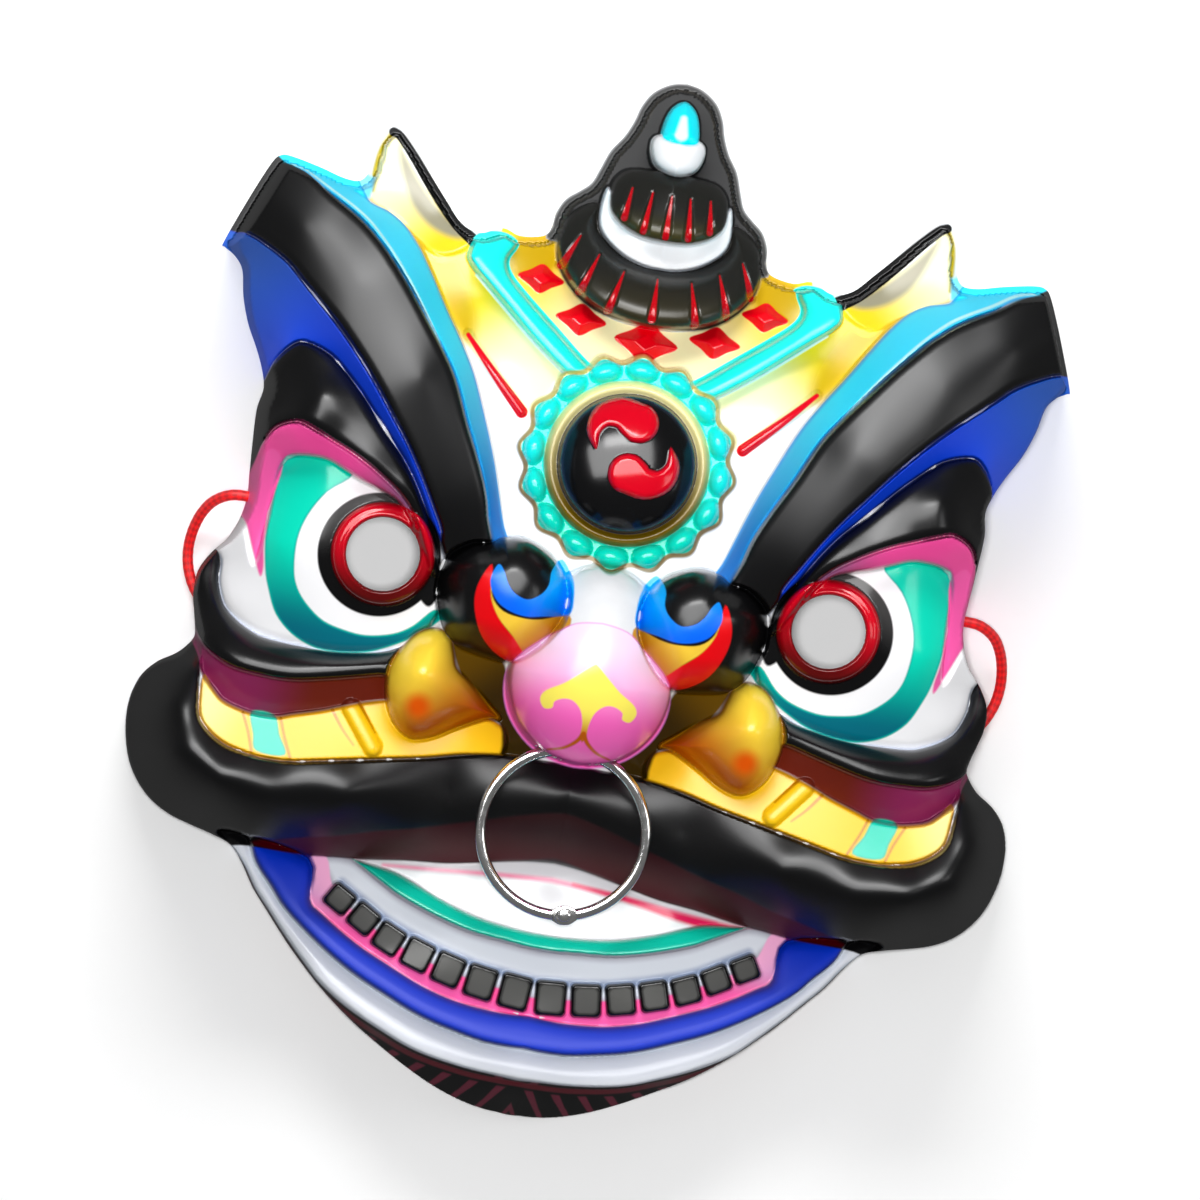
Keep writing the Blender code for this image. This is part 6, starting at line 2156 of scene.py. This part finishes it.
def elastic() -> bpy.types.Material:
    """Red braided cord, with painted shade between its strands. It is made once."""
    if "braided_elastic" in bpy.data.materials:
        return bpy.data.materials["braided_elastic"]
    paint = Painter("braided_elastic")
    # Darker red between the strands: painted shade in the braid's grooves.
    strands = paint.share(paint.attribute("braid"), -0.8, 0.6)
    fuzz = paint.share(paint.noise(4000.0), 0.3, 0.7)
    worn = paint.mix(fuzz, (0.82, 0.002, 0.004), (0.98, 0.006, 0.008))
    paint.link(paint.mix(strands, (0.52, 0.0, 0.002), worn), paint.shader.inputs["Base Color"])
    paint.set(Roughness=0.55, Sheen_Weight=0.25, Sheen_Roughness=0.4)
    paint.bump(paint.noise(5000.0), 0.2, 0.0001)
    return paint.material


@dataclass
class Studio:
    """Pale floor, soft lights and the camera."""

    roll: float = math.radians(9.9)
    lean: float = math.radians(1.8)
    width: float = 0.327
    lens: float = 600.0
    sensor: float = 36.0

    def build(self) -> None:
        """Build floor, lights, world and camera."""
        self.lay_floor()
        self.hang_light("key", (-0.16, 0.75, 0.75), (0.0, 0.02, 0.03), (0.55, 0.22), 5.5)
        sheen = self.hang_light("sheen", (-0.16, 0.56, 1.00), (0.0, 0.0, 0.03), (1.40, 0.75), 31.0)
        sheen.visible_diffuse = False
        self.hang_light("rim", (0.75, 0.15, 0.55), (0.0, 0.0, 0.03), (0.25, 0.35), 1.0)
        axis = self.hang_light("axis", (-0.094, 0.0, 3.0), (0.0, 0.0, 0.0), (0.20, 0.20), 60.0)
        axis.visible_glossy = False
        self.light_world()
        self.place_camera()

    def lay_floor(self) -> None:
        """A plain white floor that the mask lies on."""
        floor = mesh_piece(
            "floor", np.array([(-3, -3, 0), (3, -3, 0), (3, 3, 0), (-3, 3, 0)], float), [(0, 1, 2, 3)],
        )
        paint = Painter("floor_white")
        paint.set(Base_Color=(0.93, 0.93, 0.93), Roughness=0.7)
        floor.data.materials.append(paint.material)
        floor.visible_glossy = False

    def hang_light(
        self, name: str, place: tuple[float, float, float], aim: tuple[float, float, float],
        size: tuple[float, float], power: float,
    ) -> bpy.types.Object:
        """A rectangular soft light at a place, turned to a point."""
        light = bpy.data.lights.new(name, "AREA")
        light.shape = "RECTANGLE"
        light.size, light.size_y = size
        light.energy = power
        lamp = bpy.data.objects.new(name, light)
        lamp.location = place
        lamp.rotation_euler = (Vector(aim) - Vector(place)).to_track_quat("-Z", "Y").to_euler()
        bpy.context.scene.collection.objects.link(lamp)
        return lamp

    def light_world(self) -> None:
        """An even, dim sky."""
        world = bpy.data.worlds.new("studio")
        world.use_nodes = True
        world.node_tree.nodes["Background"].inputs["Color"].default_value = (1, 1, 1, 1)
        world.node_tree.nodes["Background"].inputs["Strength"].default_value = 0.12
        bpy.context.scene.world = world

    def place_camera(self) -> None:
        """A long lens that looks straight down at the mask, rolled and leaning a little to the left."""
        camera = bpy.data.cameras.new("camera")
        camera.lens, camera.sensor_width = self.lens, self.sensor
        distance = self.width * self.lens / self.sensor
        camera.clip_end = 20.0
        item = bpy.data.objects.new("camera", camera)
        right = Vector((math.cos(self.roll), math.sin(self.roll), 0))
        up = Vector((-math.sin(self.roll), math.cos(self.roll), 0))
        back = Vector((-math.sin(self.lean), 0, math.cos(self.lean)))
        right = (right - back * right.dot(back)).normalized()
        up = back.cross(right)
        turn = Matrix((right, up, back)).transposed().to_4x4()
        turn.translation = Vector((-0.0002, -0.0001, 0.03)) + back * distance
        item.matrix_world = turn
        bpy.context.scene.collection.objects.link(item)
        bpy.context.scene.camera = item


def main() -> None:
    """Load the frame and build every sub-assembly."""
    logging.basicConfig(level=logging.INFO, format="%(name)s %(message)s")
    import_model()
    ring = NoseRing()
    mask = Mask({
        "crown": Crown(), "crest": Crest(), "boss": Boss(), "brows": Brows(), "eyes": Eyes(), "jaw": Jaw(),
        "muzzle": Muzzle(), "nose": Nose(),
    })
    mask.build(ring)
    ring.build()
    HeadElastic().build()
    Studio().build()
    bpy.context.scene.view_settings.view_transform = "Standard"


if __name__ == "__main__":
    main()
